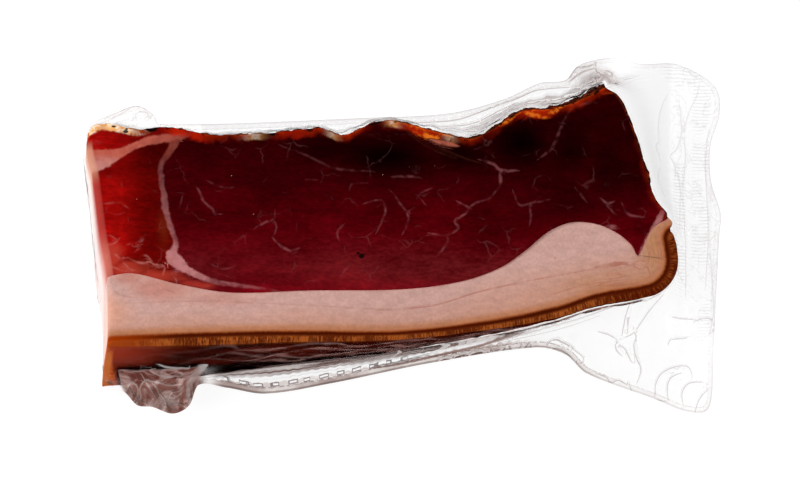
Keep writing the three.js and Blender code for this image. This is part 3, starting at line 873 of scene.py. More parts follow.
def makeFat():
    layer = slabLayer("fatAndRind", meat["stepsFat"], 0, slab["fatShare"])
    box, points, flat, _, openSide, z, _ = layer
    depth = 1 - z / slab["thickness"]
    toRind, alongRind = np.empty(len(flat)), np.empty(len(flat))
    rindPart = rindPoints[rindLengths < rindLengths[-1] - meat["rindEnd"]]
    for some in np.array_split(np.arange(len(flat)), 40):
        away = np.linalg.norm(flat[some, None, :] - rindPart[None], axis=2)
        toRind[some] = away.min(1)
        alongRind[some] = rindLengths[away.argmin(1)]
    xs = np.linspace(fatLine[0][0], fatLine[-1][0], 800)
    steepness = np.hypot(1, np.gradient(through(fatLine, xs), xs))
    toLean = np.abs(through(fatLine, flat[:, 0]) - flat[:, 1]) / np.interp(flat[:, 0], xs, steepness)
    skinSide = (openSide < onEdge) * smooth(44.3, 43, z) * smooth(0.2, 0.5, z)
    pores = rough(alongRind / 3.5, points[:, 2] / 2.5, 31, 3)
    outward = writePoints(box, points)
    writePoints(box, points + outward * (skinSide * meat["rindPores"] * (pores - 1))[:, None])
    paint(box, "streaks", *nearLines(streakLines, flat))
    rightward = 0.6 * smooth(10, 40, flat[:, 0]) + 0.4 * smooth(60, 88, flat[:, 0])
    paleness = zones(paleSpots, flat) - zones(flushedSpots, flat)
    paint(box, "tone", zones(creamSpots, flat), paleness, zones(fleckSpots, flat), rightward)
    paint(box, "rind", toRind, alongRind, toLean, skinSide)
    paint(box, "rindCut", through(rindCut, flat[:, 0]))
    endward = flat[:, 0] - meat["endSlant"] * depth
    leftWall = smooth(1.9, 1.5, flat[:, 0] - through(byHeight(leftEndLine), flat[:, 1]))
    paint(box, "ends", smooth(-89.9, -90.5, endward), smooth(-66, -92, endward), leftWall, depth)
    finish(box, fatMaterial(), "fat", "fat_and_rind")


def fatMaterial():
    material = newMaterial("fatAndSmokedRind", fatLook)
    place = add("TexCoord").outputs["Object"]
    cream, pale, flecky, rightward = painted("tone")
    rightEnd = between(rightward, 0.6, 1.0)
    tanner = between(rightward, 0.0, 0.6)
    toRind, alongRind, toLean, skinSide = painted("rind")
    thickness = painted("rindCut")[0]
    orangeGlowEnd, redPart, leftWall, depth = painted("ends")
    broad = grain(place, 60, 4, (0.5, 1.5, 1))
    mottle = grain(place, 420, 4, (0.6, 1.2, 1))
    # from pink beside the lean to tan beside the rind
    away = plus(times(toRind, timesPlus(tanner, -0.35, 1.0)), swing(broad, 9.0))
    tone = blend(between(away, 4, 13), "tan", "pink")
    tone = blend(between(pale, 0.0, 1.0), tone, "pale")
    tone = blend(between(pale, 0.0, -1.0), tone, "flushed")
    tone = blend(cream, tone, "cream")
    beyond = minus(toRind, thickness)
    tone = blend(between(beyond, 3.6, 1.0), tone, "nearRind")
    tone = blend(between(beyond, 1.1, 0.0), tone, "besideRind")
    tone = scaled(tone, between(mottle, 0.25, 0.75, 0.92, 1.08))
    tone = scaled(tone, between(grain(place, 1100, 2), 0.3, 0.7, 0.94, 1.05))
    # layers folded round the right end
    layers = sums("SINE", timesPlus(toRind, 3.6, times(grain(place, 150, 2), 5.0)))
    tone = blend(times(between(layers, 0.75, 1.0), cream, 0.4), tone, "streak")
    patchy = between(grain(place, 260, 3), 0.35, 0.65, 0.25, 1.0)
    inStreak, _, strength = lineShare("streaks", place, 0.25, 0.6, 500)
    tone = blend(times(inStreak, strength, patchy), tone, "streak")
    # brown flecks, and the blush beside the lean
    dots = add("TexVoronoi", {"Vector": place, "Scale": 300}).outputs["Distance"]
    flecky = timesPlus(flecky, 0.7, 0.25)
    flecks = times(between(dots, 0.2, 0.1), between(mottle, 0.48, 0.6), flecky)
    tone = blend(flecks, tone, "fleck")
    blush = between(timesPlus(mottle, 0.8, toLean), 1.0, 0.3, 0, 0.6)
    tone = blend(blush, tone, "bleed")
    # the cut edge of the rind: a dark line, then golden brown with upright fibres
    upright = flow(times(alongRind, 1.9), times(toRind, 0.35))
    fibres = noise(upright, 1, 4, 0.7)
    rindPatches = flow(times(alongRind, 0.09), times(toRind, 0.1))
    rindPatches = noise(rindPatches, 1)
    mellow = plus(fibres, swing(rindPatches, 0.6))
    gold = blend(between(mellow, 0.42, 0.62), "rindBrown", "rindGold")
    gold = blend(redPart, gold, "skinAmber")
    gold = blend(times(rightEnd, between(fibres, 0.4, 0.65, 0.95, 0.5)), gold, "rindEnd")
    into = plus(toRind, plus(swing(fibres, 0.9), swing(rindPatches, 0.8)))
    within = minus(thickness, into)
    dark = between(within, timesPlus(fibres, 1.6, 0.9), 0.7)
    rindTone = blend(dark, gold, blend(redPart, "rindLine", "rindRed"))
    rindShare = between(within, -0.55, 0.35)
    tone = blend(rindShare, tone, rindTone)
    # the outside of the rind, seen from below, with painted orange glow at its left end, and the left wall
    # painted pale as painted backlight
    leather = blend(between(grain(place, 120, 5, (0.5, 1, 1)), 0.35, 0.7), "skin", "skinRed")
    leather = blend(times(redPart, between(depth, 0.1, 0.75, 1.0, 0.25)), leather, "skinWarm")
    orange = blend(between(mottle, 0.35, 0.65), "skinAmber", "skinOrange")
    leather = blend(orangeGlowEnd, leather, orange)
    leather = blend(between(grain(place, 700, 2), 0.6, 0.68, 0, 0.4), leather, "rindLine")
    tone = blend(skinSide, tone, leather)
    endTone = blend(between(toRind, 4, 2), "endBacklitPale", "endRind")
    tone = blend(times(leftWall, between(depth, 0.0, 0.3), 0.85), tone, endTone)
    bump = timesPlus(mottle, 0.5, times(rindShare, fibres))
    meatSurface(tone, bump, 0.3, 0.45)
    return material


# the bag: film that clings to the slab, and film that stands free round it
bag = {
    "cling": 0.35,              # how far the clinging film is from the meat
    "skinAlong": 250,
    "skinAcross": 86,
    "skinEdge": [0, 0.15, 0.5, 1, 1.6],            # heights of its rows by a cut face
    "skinRows": 26,             # and between the two
    "skinFloor": 0.02,
    "pocket": 1.1,              # how far it stands off between its creases under the rind
    "creaseOnTop": 0.5,
    "shineUnder": 0.03,         # how much of its shine is left, under the rind and elsewhere
    "shineAbove": 0.1,
    "stations": [(0, 0.16, 170), (0.16, 1, 300), (1, 2, 400), (2, 3, 330), (3, 4, 60)],    # from, to, points
    "frontRows": 40,
    "backRows": 16,
    "beadRows": 11,
    "wallRows": 5,
    "crowding": {1: 1.1, -1: 1.15},                # the rows crowd at the slab, in front and behind
    "sweep": {1: 4, -1: 5},     # how soon the film levels out, in front and behind
    "foldScale": {1: 1, -1: 0.7},
    "filmGap": 0.45,
    "rootGap": 0.3,             # how far the free film is from the clinging film
    "baseHeight": 15,           # where on the slab's side its reach is measured from
    "lowest": 0.25,
    "beadRadius": 0.85,         # the hem is rolled into a bead
    "beadTurn": 150,            # degrees either way
    "thinBead": 0.75,           # thinner where it isn't a hem
    "sheetEnd": 1.87,           # the sheets end this many bead radii from the edge
    "crimp": 3.1,               # and the bead is pinched every few millimetres
    "pinch": 0.22,
    "unevenPinch": 0.15,
    "ruffleStart": {"x": -92, "y": -34, "slant": 0.48},       # left of this slanting line it lies smooth
    "rib": 1.15,                # ribs pressed into the sealed flap, in two columns and along its top
    "ribHeight": 0.1,
    "ribColumns": [(104.8, 1.8, 2.6), (112.4, 2.6, 3.4)],      # middle, half width, where they have faded
    "swell": 0.5,               # how high the film swells, in the flap doubly
    "folds": {"crease": 0.5, "star": 1.1, "tent": 0.9, "ruffle": 2.6},
    "foldMargin": 1.5,          # how far beyond its own width a drawn fold is still felt
}
# parts of the edge, counted round the slab, one for each side: begins, full from, full to, ends
edgeParts = {
    "hem": (0.14, 0.19, 0.86, 0.92),
    "tent": (0.14, 0.2, 0.75, 0.85),
    "lowRight": (0.62, 0.72, 0.93, 1),
    "flap": (0.9, 1.05, 1.95, 2),
    "ribbedFlap": (0.93, 1.02, 1.85, 1.92),
    "inFlap": (0.98, 1.15, 1.95, 1.99),
    "star": (1.88, 1.95, 2.05, 2.12),
    "top": (1.98, 2.02, 2.97, 3),
    "ear": (2.88, 2.91, 2.99, 3.02),
}
gatheredCorner = [
    (0.012, -89, -47.6, 6), (0.03, -84.5, -49, 7), (0.05, -80, -53, 4), (0.07, -75, -54.2, 8),
    (0.095, -68, -55.8, 4.5), (0.12, -62.6, -53.5, 8), (0.145, -59.4, -46, 5),
]
hem = [
    (0.19, -50, -46.4, 3), (0.25, -37, -48.2, 2.6), (0.36, -15, -44.4, 2.4), (0.52, 19, -37, 3.4),
    (0.7, 55, -31.2, 4), (0.755, 66, -33.4, 3), (0.785, 73, -39.6, 2.4), (0.865, 96, -48, 2.2),
]
sealedFlap = [
    (0.905, 108, -52.6, 3.4), (0.935, 115.4, -50.6, 3), (0.97, 116.6, -33, 5), (1.1, 119, 6, 7),
    (1.2, 119.7, 15.6, 8), (1.36, 116.4, 27, 9), (1.55, 116, 39, 11), (1.74, 119.2, 51.6, 13),
    (1.84, 116.6, 60.2, 15), (1.93, 103, 66.8, 17), (1.965, 91, 66.2, 18),
]
topEdge = [
    (2, 81, 67.6, 20), (2.035, 69, 64, 23), (2.065, 63.8, 58, 25), (2.12, 54.8, 56.4, 26),
    (2.19, 42.8, 50.6, 26), (2.3, 24.5, 45.2, 26), (2.46, -2, 43, 26), (2.87, -74, 39.4, 25),
]
ear = [(2.9, -76.4, 42.6, 25.5), (2.93, -82, 45.6, 25), (2.965, -90, 42.8, 24), (3, -98, 39.4, 22)]
leftEdge = [(3.1, -100.6, 31, 20), (3.38, -98.4, 12.5, 16), (3.69, -95.6, -10.3, 14), (3.92, -94, -36, 11)]
bagEdge = gatheredCorner + hem + sealedFlap + topEdge + ear + leftEdge
# how high the front and the back film leave the slab's side, each (where, height)
frontRoots = [
    (0, 27), (0.1, 25), (0.2, 18.5), (0.5, 17), (0.9, 24), (1.1, 34), (1.8, 38), (2, 40), (2.5, 42), (3, 42),
    (3.6, 40), (4, 27),
]
backRoots = [(0, 2.2), (1, 2.2), (1.3, 4), (2, 7), (3, 7), (3.6, 5), (4, 2.2)]
# folds of the free film: (half width, height, path)
foldGroups = [
    # along the crust
    (0.5, 0.8, [
        [(6.5, 41), (19, 42), (26.5, 43), (33.5, 45.5), (40.5, 48.5), (47, 51), (52.5, 53.5), (57.5, 54.5),
         (67.5, 55.5)],
        [(17.5, 40), (21, 40), (25.5, 40.5), (29.5, 41), (33, 42), (37, 44), (40, 46), (44.5, 48), (47, 49)],
        [(16.5, 38), (23, 38.5), (28.5, 38.5), (33, 39.5), (38.5, 42), (44, 44.5)],
        [(23, 36.5), (26.5, 36.5), (29.5, 36.5), (32.5, 36.5), (36.5, 38.5), (40, 41), (44.5, 43)],
        [(46, 44.5), (48, 46), (51.5, 47), (53.5, 48.5), (57.5, 49), (62, 50), (66, 51), (73, 54)],
        [(55.5, 47), (60.5, 48.5), (65.5, 50), (71, 52), (74.5, 54)],
        [(53.5, 48), (59, 48.5), (64, 50), (69, 52), (73.5, 55)],
    ]),
    # the star at the upper right corner
    (0.75, 1, [
        [(75, 65.5), (75, 62.5), (75.5, 61.5), (77, 59.5), (78.5, 57.5)],
        [(78, 59.5), (79.5, 58), (80.5, 56)],
        [(78.5, 60), (80.5, 58.5), (82.5, 57.5)],
        [(72.5, 55), (73, 56.5), (73.5, 58)],
        [(74, 55.5), (75, 57), (76.5, 58.5)],
        [(68, 55), (69.5, 54.5), (71.5, 55.5), (73.5, 57.5), (72.5, 58)],
        [(65.5, 53.5), (67, 54), (68, 53.5)],
        [(64, 57.5), (65.5, 60), (67.5, 63), (71, 63.5), (74, 64.5)],
        [(64.5, 57), (67.5, 60), (70.5, 62), (74, 63)],
        [(77, 62), (79.5, 62.5), (81, 61), (80, 60), (77.5, 60)],
    ]),
    # the sealed flap
    (0.6, 0.45, [
        [(100.5, 56), (98.5, 51.5), (97.5, 47), (97, 43), (97, 40.5), (97, 38)],
        [(97.5, 39.5), (96, 37), (97, 34.5), (97.5, 32)],
        [(97.5, 30), (96.5, 27.5), (96, 24.5), (97.5, 21.5), (98.5, 19)],
        [(101.5, 35), (103, 33.5), (104, 31), (103.5, 28)],
        [(104.5, 56), (106, 45), (104.5, 38), (102, 35), (104, 32.5), (105.5, 24), (104.5, 10)],
        [(112, 62.5), (111, 56), (108.5, 50.5), (107, 43.5), (107.5, 34.5), (106.5, 20.5), (107.5, -0.5),
         (107, -14.5)],
        [(115.5, 45.5), (114.5, 34.5), (115, 20.5), (115.5, 6.5), (114, -11)],
        [(116.5, 27.5), (116, 10), (116.5, -4), (117, -18), (115.5, -25)],
    ]),
    # below the right end
    (0.5, 0.65, [
        [(76.5, -25.5), (79.5, -26), (82, -27), (83.5, -28)],
        [(83, -28), (84, -29.5), (86.5, -31), (88.5, -35), (89.5, -36)],
        [(83, -29), (83.5, -31.5), (85.5, -33.5)],
        [(84, -28), (86.5, -27), (89, -25.5), (93, -19.5), (97.5, -14.5)],
        [(85.5, -17), (85.5, -23), (85, -28)],
        [(84.5, -17.5), (86.5, -20), (87, -26.5)],
        [(88.5, -24), (90, -27), (90.5, -32.5), (92, -38), (91, -41.5), (90, -43.5)],
        [(90.5, -26.5), (89.5, -30), (91, -35.5), (92, -37.5)],
        [(72.5, -34), (71.5, -36), (69.5, -37), (70.5, -40), (73.5, -42), (77, -43), (81.5, -45),
         (84.5, -47), (86.5, -48.5)],
        [(76, -39.5), (79.5, -40.5), (81.5, -42.5), (84, -41.5), (87, -43.5)],
        [(67, -30.5), (69.5, -32), (72, -34), (72, -36)],
        [(87.5, -41.5), (89, -45.5), (94.5, -47.5), (100.5, -49)],
        [(96.5, -47.5), (96.5, -43.5), (98, -40), (100.5, -38), (105, -36.5), (108.5, -37), (109.5, -40)],
        [(101, -48.5), (100.5, -44), (102, -40.5), (106, -39)],
        [(106, -50.5), (105.5, -46), (108, -42.5), (112.5, -42), (116, -43)],
        [(110, -53), (111, -49), (113.5, -45.5), (116.5, -44)],
        [(101, -30), (101.5, -28), (106.5, -27), (109, -26.5)],
        [(101, -20.5), (103.5, -20.5), (108.5, -20.5), (111, -21)],
        [(110, -22.5), (112, -20.5), (116, -20.5), (117.5, -24), (114.5, -26.5)],
    ]),
    # the hem
    (1, 1.3, [
        [(-1, -39), (7, -37.5), (15.5, -35.5), (25.5, -33), (36, -30.5), (44.5, -28), (53, -26)],
    ]),
    (0.35, 0.5, [
        [(24, -35), (24.5, -36.2), (26.5, -36.2), (27, -35)],
        [(29, -34), (30, -35.2), (31, -35.2), (32, -33.5)],
    ]),
    (0.4, 0.55, [
        [(35, -33), (36, -34.2), (37, -34), (37.7, -32.5)],
    ]),
    (0.45, 0.6, [
        [(40, -31.5), (41, -33), (43.5, -32.5), (44, -31)],
    ]),
    (0.5, 0.65, [
        [(46.5, -30.5), (47.5, -32), (49.5, -31.5), (50.5, -29.5)],
    ]),
    (0.3, 0.6, [
        [(6.5, -35.5), (15, -33), (22, -31.5), (27, -30.5)],
    ]),
    (0.3, 0.7, [
        [(8, -36.5), (18.5, -34), (28.5, -31), (39, -28.5), (49, -26)],
    ]),
    (0.3, 0.6, [
        [(22, -33.5), (32, -30.5), (42, -28), (52.5, -25)],
    ]),
    (0.3, 0.5, [
        [(32, -28), (42.5, -26), (52.5, -23.5)],
    ]),
    (0.3, 0.6, [
        [(49, -27.5), (63, -24), (76.5, -20.5), (90.5, -16.5)],
    ]),
    (0.3, 0.5, [
        [(42, -30), (52.5, -27.5), (63, -25), (76.5, -21.5)],
    ]),
    (0.7, 0.9, [
        [(22, -36.5), (24, -35.5), (26.5, -35.5), (28, -36.5)],
        [(27.5, -35), (30, -34), (32, -34), (33.5, -35)],
        [(33, -34), (35.5, -33), (37.5, -33), (39, -33.5)],
        [(38.5, -32.5), (40.5, -33.5), (43, -33), (45, -31)],
        [(46, -31), (47.5, -32), (50.5, -32), (52, -30.5), (53, -29.5)],
        [(53.5, -30), (54.5, -31.5), (57, -32.5), (59.5, -31)],
        [(59, -30.5), (60, -29), (62.5, -28), (65, -29), (68, -30.5), (70, -32.5)],
        [(60, -32), (62.5, -31), (65.5, -32), (68, -34.5), (69.5, -37.5)],
    ]),
    # the gathered corner
    (1.7, 2.4, [
        [(-57, -41.5), (-61, -43), (-63.3, -46.5), (-63.5, -50.5), (-62.5, -54)],
    ]),
    (0.6, 1.2, [
        [(-88, -35.5), (-87.5, -39), (-85.5, -41.5), (-82.5, -43), (-80.5, -41.5)],
        [(-87.5, -37), (-85.5, -40.5), (-83, -42), (-80, -43)],
        [(-83.5, -49), (-82.5, -47), (-80.5, -47.5), (-80, -49), (-81, -51.5), (-83, -52.5)],
        [(-82.5, -53.5), (-80, -52.5), (-78.5, -50.5), (-79, -48), (-77, -46.5), (-74, -48), (-72.5, -50.5)],
        [(-80, -51.5), (-77.5, -53), (-75.5, -55.5), (-72.5, -56), (-70.5, -54.5), (-70.5, -52),
         (-72.5, -49.5)],
        [(-76, -44.5), (-72.5, -45.5), (-68.5, -45.5), (-65, -45)],
        [(-77, -46.5), (-73, -47), (-69, -47.5), (-65, -47)],
        [(-69.5, -51.5), (-68.5, -49.5), (-66, -49), (-64.5, -47.5)],
        [(-69.5, -50.5), (-67.5, -51), (-65, -49.5)],
        [(-60, -42), (-62, -43), (-63, -45), (-63.5, -48.5), (-62.5, -51.5), (-61.5, -53.5)],
        [(-61.5, -44), (-62, -47.5), (-61.5, -51), (-62.5, -54.5), (-65.5, -56)],
        [(-79, -45), (-76, -48.5), (-73.5, -51.5), (-70.5, -53)],
        [(-84, -49.5), (-83, -52.5), (-79.5, -54)],
        [(-69, -53.5), (-66.5, -53), (-63.5, -54.5)],
        [(-76, -42.5), (-70.5, -43.5), (-65, -43.5), (-60.5, -42.5)],
    ]),
    # the ear
    (0.5, 0.5, [
        [(-93, 40.5), (-91, 43), (-88, 44), (-86, 44.5), (-84, 45.5), (-81, 45.5), (-78, 44.5), (-76.5, 43),
         (-77, 41.5), (-78.5, 40)],
        [(-91.5, 40.5), (-89, 42), (-86, 43.5), (-84, 45.5)],
        [(-86, 40), (-84, 42), (-81.5, 43.5), (-79, 43.5)],
        [(-82, 40), (-82.5, 42.5), (-81, 43.5), (-79, 43.5), (-77.5, 42.5), (-79, 41), (-81, 41)],
        [(-84, 40), (-83, 42)],
        [(-80, 45), (-78, 43.5), (-77.5, 41.5)],
    ]),
    # along the crust, on the left
    (0.4, 0.4, [
        [(-61, 34.5), (-57.5, 35.5), (-52.5, 37), (-46, 37.5), (-37.5, 37.5), (-27.5, 37.5), (-19, 39)],
        [(-59, 34), (-53.5, 35.5), (-47.5, 36), (-40, 36), (-31, 36.5), (-22.5, 38)],
        [(-77.5, 36), (-74, 36.5), (-70, 36.5), (-65.5, 36)],
    ]),
]
foldLines = [(halfWidth, height, path) for halfWidth, height, paths in foldGroups for path in paths]
# under the rind the film clings along wavy lines: (height, sway, wave length, start)
clingLines = [(41, 3, 29, 0), (33, -4, 27, 3), (25, 4, 28, 2), (17.5, -3.5, 31, 5), (10, 3, 26, 0)]


def sidePoint(where, z):
    # a point on the slab's side wall: where counts round it, one for each side
    side = np.floor(where).astype(int) % 4
    share = where - np.floor(where)
    steps = np.linspace(0, 1, 400)
    u, v = np.zeros(len(where)), np.zeros(len(where))
    zero, one = 0 * steps, 0 * steps + 1
    courses = [(steps, zero), (one, steps), (1 - steps, one), (zero, 1 - steps)]
    for k, (us, vs) in enumerate(courses):
        line, _ = slabPoint(us, vs, 0 * us + slab["thickness"] / 3)
        lengths = np.concatenate([[0], np.cumsum(np.linalg.norm(np.diff(line, axis=0), axis=1))])
        here = side == k
        u[here] = np.interp(share[here], lengths / lengths[-1], us)
        v[here] = np.interp(share[here], lengths / lengths[-1], vs)
    return slabPoint(u, v, z)[0]


def roundThrough(marks, where, column):
    turned = [(w - 4, *rest) for w, *rest in marks[-2:]] + marks + [(w + 4, *rest) for w, *rest in marks[:2]]
    return through(turned, where, column)


def outwardFrom(points):
    following = np.roll(points, -1, axis=0) - np.roll(points, 1, axis=0)
    outward = np.stack([following[:, 1], -following[:, 0]], -1)
    return outward / np.linalg.norm(outward, axis=1)[:, None]


def onPart(name, where):
    begins, fullFrom, fullTo, ends = edgeParts[name]
    return smooth(begins, fullFrom, where) * smooth(ends, fullTo, where)


def makeFreeFilm():
    where = np.concatenate([lerp(low, high, np.arange(n) / n) for low, high, n in bag["stations"]])
    outer = np.stack([roundThrough(bagEdge, where, k) for k in (1, 2, 3)], -1)
    base = sidePoint(where, 0 * where + bag["baseHeight"])
    frontZ, backZ = through(frontRoots, where), through(backRoots, where)
    offWall, offEdge = outwardFrom(base), outwardFrom(outer)
    reach = np.linalg.norm(outer[:, :2] - base[:, :2], axis=1)
    along = np.cumsum(np.linalg.norm(np.roll(outer, -1, axis=0) - outer, axis=1))
    pinch = 1 + bag["pinch"] * np.sin(2 * math.pi * along / bag["crimp"])
    pinch = pinch + bag["unevenPinch"] * rough(along / 2.3, 0 * along, 65, 2)
    radius = bag["beadRadius"] * pinch * lerp(bag["thinBead"], 1, onPart("hem", where))

    # rows round the film: out along the front sheet, over the bead, back along the back sheet, up the slab
    front, behind, bead, wall = bag["frontRows"], bag["backRows"], bag["beadRows"], bag["wallRows"]
    turn = bag["beadTurn"]
    rows = [("sheet", (k / front) ** bag["crowding"][1], 1) for k in range(front)]
    rows += [("bead", math.radians(lerp(turn, -turn, k / (bead - 1))), 0) for k in range(bead)]
    rows += [("sheet", (k / behind) ** bag["crowding"][-1], -1) for k in range(behind - 1, -1, -1)]
    rows += [("wall", 0, -1 + 2 * k / (wall + 1)) for k in range(1, wall + 1)]
    grid = np.empty((len(where), len(rows), 3))
    for row, (kind, amount, level) in enumerate(rows):
        if kind == "bead":
            grid[:, row, :2] = outer[:, :2] + offEdge * (radius * (math.cos(amount) - 1))[:, None]
            grid[:, row, 2] = outer[:, 2] + radius * math.sin(amount)
            continue
        rootZ = lerp(backZ, frontZ, (level + 1) / 2)
        side = 1 if level > 0 else -1
        z = lerp(outer[:, 2], rootZ, (1 - amount) ** bag["sweep"][side])
        root = sidePoint(where, z)[:, :2] + offWall * (bag["cling"] + bag["rootGap"])
        inner = outer[:, :2] - offEdge * (bag["sheetEnd"] * radius)[:, None]
        flat = lerp(root, inner, amount)
        if kind == "sheet":
            half = radius * 0.5 * smooth(0.75, 1, amount) + bag["filmGap"] / 2 * smooth(0, 0.2, amount)
            folds = foldHeights(where, along, reach, flat, amount) * bag["foldScale"][side]
            z = z + folds + level * half
        grid[:, row, :2] = flat
        grid[:, row, 2] = z
    grid[:, :, 2] = np.maximum(grid[:, :, 2], bag["lowest"])
    film, station, row = ringTube("freeFilm", len(where), len(rows))
    writePoints(film, grid[station, row])
    share = np.array([1 if kind == "bead" else amount for kind, amount, level in rows])[row]
    seen = np.array([level == 1 or kind == "bead" and amount > 0 for kind, amount, level in rows])[row]
    toEdge = np.linalg.norm(grid[station, row, :2] - outer[station, :2], axis=1)
    paintFreeFilm(film, where[station], share, seen, along[station], toEdge, grid[station, row, :2])
    finish(film, filmMaterial(), "film", "vacuum_bag")


def foldHeights(where, along, reach, flat, s):
    # how high the film stands off its smooth course, in millimetres
    room = np.minimum(reach / 12, 1) * math.sin(math.pi * min(0.12 + 0.88 * s, 1)) ** 0.5
    ruffle = smooth(0.17, 0.13, where) + smooth(3.95, 4, where)
    flap = onPart("ribbedFlap", where)
    folds = bag["folds"]
    x, y = flat[:, 0], flat[:, 1]
    calm = flap * smooth(104, 98, x)
    height = (1 + flap) * bag["swell"] * (1 - 0.75 * calm) * rough(x / 16, y / 16, 35, 2)
    height += folds["crease"] * (1 - 0.8 * calm) * (ridges(along / 8 + 1.5 * s, 1.3 * s + where, 5) - 0.4)
    height += folds["star"] * onPart("star", where) * (ridges(along / 3.2, 2 * s, 25, 2) - 0.4)
    height += folds["tent"] * onPart("tent", where) * (ridges(along / 30, 5 * s, 75, 2) - 0.4)
    height += folds["ruffle"] * ruffle * (ridges(x / 7, y / 6, 85, 2) - 0.4)
    ribs = np.sin(2 * math.pi * y / bag["rib"] + 2 * rough(x / 3, y / 9, 95, 2))
    height += bag["ribHeight"] * ribs * ribbed(x, y) * flap
    _, away, width, rise = nearLines(foldLines, flat, bag["foldMargin"])
    return height * room + rise * np.exp(-(away / width) ** 2)


def ribbed(x, y):
    # where the ribs are: the columns and the top have gaps
    columns = sum(smooth(faded, half, np.abs(x - middle)) for middle, half, faded in bag["ribColumns"])
    alongTop = smooth(60, 61.5, y + 0.25 * (x - 100)) * smooth(98, 101, x)
    return np.maximum(columns, alongTop) * smooth(-0.6, 0, rough(x / 5, y / 7, 105, 2))


# how strongly each part of the free film is shaded, creased, turned dark, and hemmed
partLooks = {
    "shade": {"inFlap": 0.5, "flap": 0.22, "ear": 0.2, "top": 0.3, "star": 0.5},
    "creases": {"ruffle": 0.5, "star": 0.8, "lowRight": 0.06, "flap": 0.22, "ear": 0.15},
    "turns": {"ruffle": 0.5, "band": 1, "star": 0.8, "lowRight": 0.05, "top": 0.4, "flap": 0.15},
    "hem": {"band": 0.95, "flap": 0.2, "lowRight": 0.35, "top": 0.22, "ear": 0.15},
}


def strongest(kind, **parts):
    return np.maximum.reduce([partLooks[kind][name] * part for name, part in parts.items()])


def paintFreeFilm(film, where, share, seen, along, toEdge, flat):
    x, y = flat[:, 0], flat[:, 1]
    below = where < 1
    start = bag["ruffleStart"]
    toRuffle = x - start["x"] - start["slant"] * (start["y"] - y)
    ruffle = smooth(0.165, 0.145, where) * smooth(-0.5, 0.8, toRuffle)
    # band: where the film shows streaks of painted reflection under the rind
    band = smooth(0.15, 0.19, where) * smooth(60, 40, x) * below
    tented = zones([(54, 47, 22, 8, 0.65)], flat) * (where > 2) * smooth(0.75, 0.5, share)
    star = zones([(75, 58, 7, 5, 1)], flat) * smooth(53, 56, y)
    inFlap = onPart("inFlap", where) * smooth(104, 100, x)
    flap, ear, lowRight, top = (onPart(name, where) for name in ("flap", "ear", "lowRight", "top"))
    offRoot = smooth(0, 0.2, share)
    low = np.maximum.reduce([smooth(0.165, 0.145, where), smooth(3.9, 3.97, where), band])
    shine = smooth(0, 0.12, share) * lerp(1, 0.35 * smooth(0.1, 0.4, share), low) * (1 - 0.7 * inFlap)
    shade = strongest("shade", inFlap=inFlap, flap=flap * (1 - 0.6 * lowRight), ear=ear, top=top * (x > -60),
                      star=star)
    creases = strongest("creases", ruffle=ruffle * smooth(0.3, 0.7, share), star=star, lowRight=lowRight,
                        flap=flap * (1 - inFlap), ear=ear)
    turns = strongest("turns", ruffle=ruffle, band=band, star=star, lowRight=lowRight, top=top * offRoot,
                      flap=flap * offRoot)
    hemmed = strongest("hem", band=smooth(-56, -50, x) * smooth(100, 60, x) * below, flap=flap,
                       lowRight=lowRight, top=top, ear=ear)
    stitched = smooth(-53, -50, x) * smooth(14, 8, x) * below * smooth(0.14, 0.17, where)
    # brown: painted dark meat seen through the film, in the gathered corner and the star
    brown = np.maximum(ruffle * smooth(0, 0.08, share), 0.55 * star)
    signed, away, width, rise = nearLines(foldLines, flat, bag["foldMargin"])
    paint(film, "film", shade * seen, brown * seen, np.maximum(band, tented) * seen)
    paint(film, "run", along, toEdge, stitched * seen, hemmed * seen)
    paint(film, "folds", signed / width, away / width, rise * seen, ribbed(x, y) * flap * seen)
    paint(film, "look", turns, shine, share, creases * seen)


def makeClingFilm():
    low = np.array(bag["skinEdge"], float)
    high = slab["thickness"] - low[::-1]
    levels = np.concatenate([low, np.linspace(low[-1], high[0], bag["skinRows"] + 2)[1:-1], high])
    box = gridBox("clingFilm", bag["skinAlong"], bag["skinAcross"], len(levels))
    start = readPoints(box)
    u, v = start[:, 0] + 0.5, start[:, 1] + 0.5
    z = levels[np.round(start[:, 2]).astype(int)]
    points, flat = slabPoint(u, v, z)
    fade = slab["swellFade"]
    inside = smooth(0, fade, u) * smooth(0, fade, 1 - u) * smooth(0, 0.05, v) * smooth(0, fade, 1 - v)
    points[:, 2] += np.where(z == slab["thickness"], faceRelief(flat) * inside, 0)
    outward = writePoints(box, points)
    nearestSide = np.minimum(np.minimum(u, 1 - u), np.minimum(v, 1 - v))
    onWall = (nearestSide < onEdge) & (z > 0.5) & (z < slab["thickness"] - 0.5)
    under, above = (v < onEdge) & onWall, (v > 1 - onEdge) & onWall
    gaps = [np.abs(z - height - sway * np.sin(2 * math.pi * flat[:, 0] / length + phase))
            for height, sway, length, phase in clingLines]
    pockets = smooth(0, 3.5, np.minimum.reduce(gaps)) * smooth(1, 5, z) * smooth(44, 40, z)
    lift = bag["cling"] + np.where(under, bag["pocket"] * pockets, 0)
    lift = lift + np.where(above, bag["creaseOnTop"] * ridges(flat[:, 0] / 14, z / 6, 45, 4), 0)
    points = points + outward * lift[:, None]
    points[:, 2] = np.maximum(points[:, 2], bag["skinFloor"])
    writePoints(box, points)
    # where the film under the rind gets painted highlight lines
    netted = under * lerp(0.12, 1, smooth(-62, -28, flat[:, 0])) * smooth(-88, -80, flat[:, 0])
    paint(box, "film")
    paint(box, "run", 0, farOff)
    paint(box, "folds", farOff, farOff)
    paint(box, "look", 0, onWall * np.where(under, bag["shineUnder"], bag["shineAbove"]))
    paint(box, "netHighlight", netted, flat[:, 0], z)
    finish(box, filmMaterial(), "film")


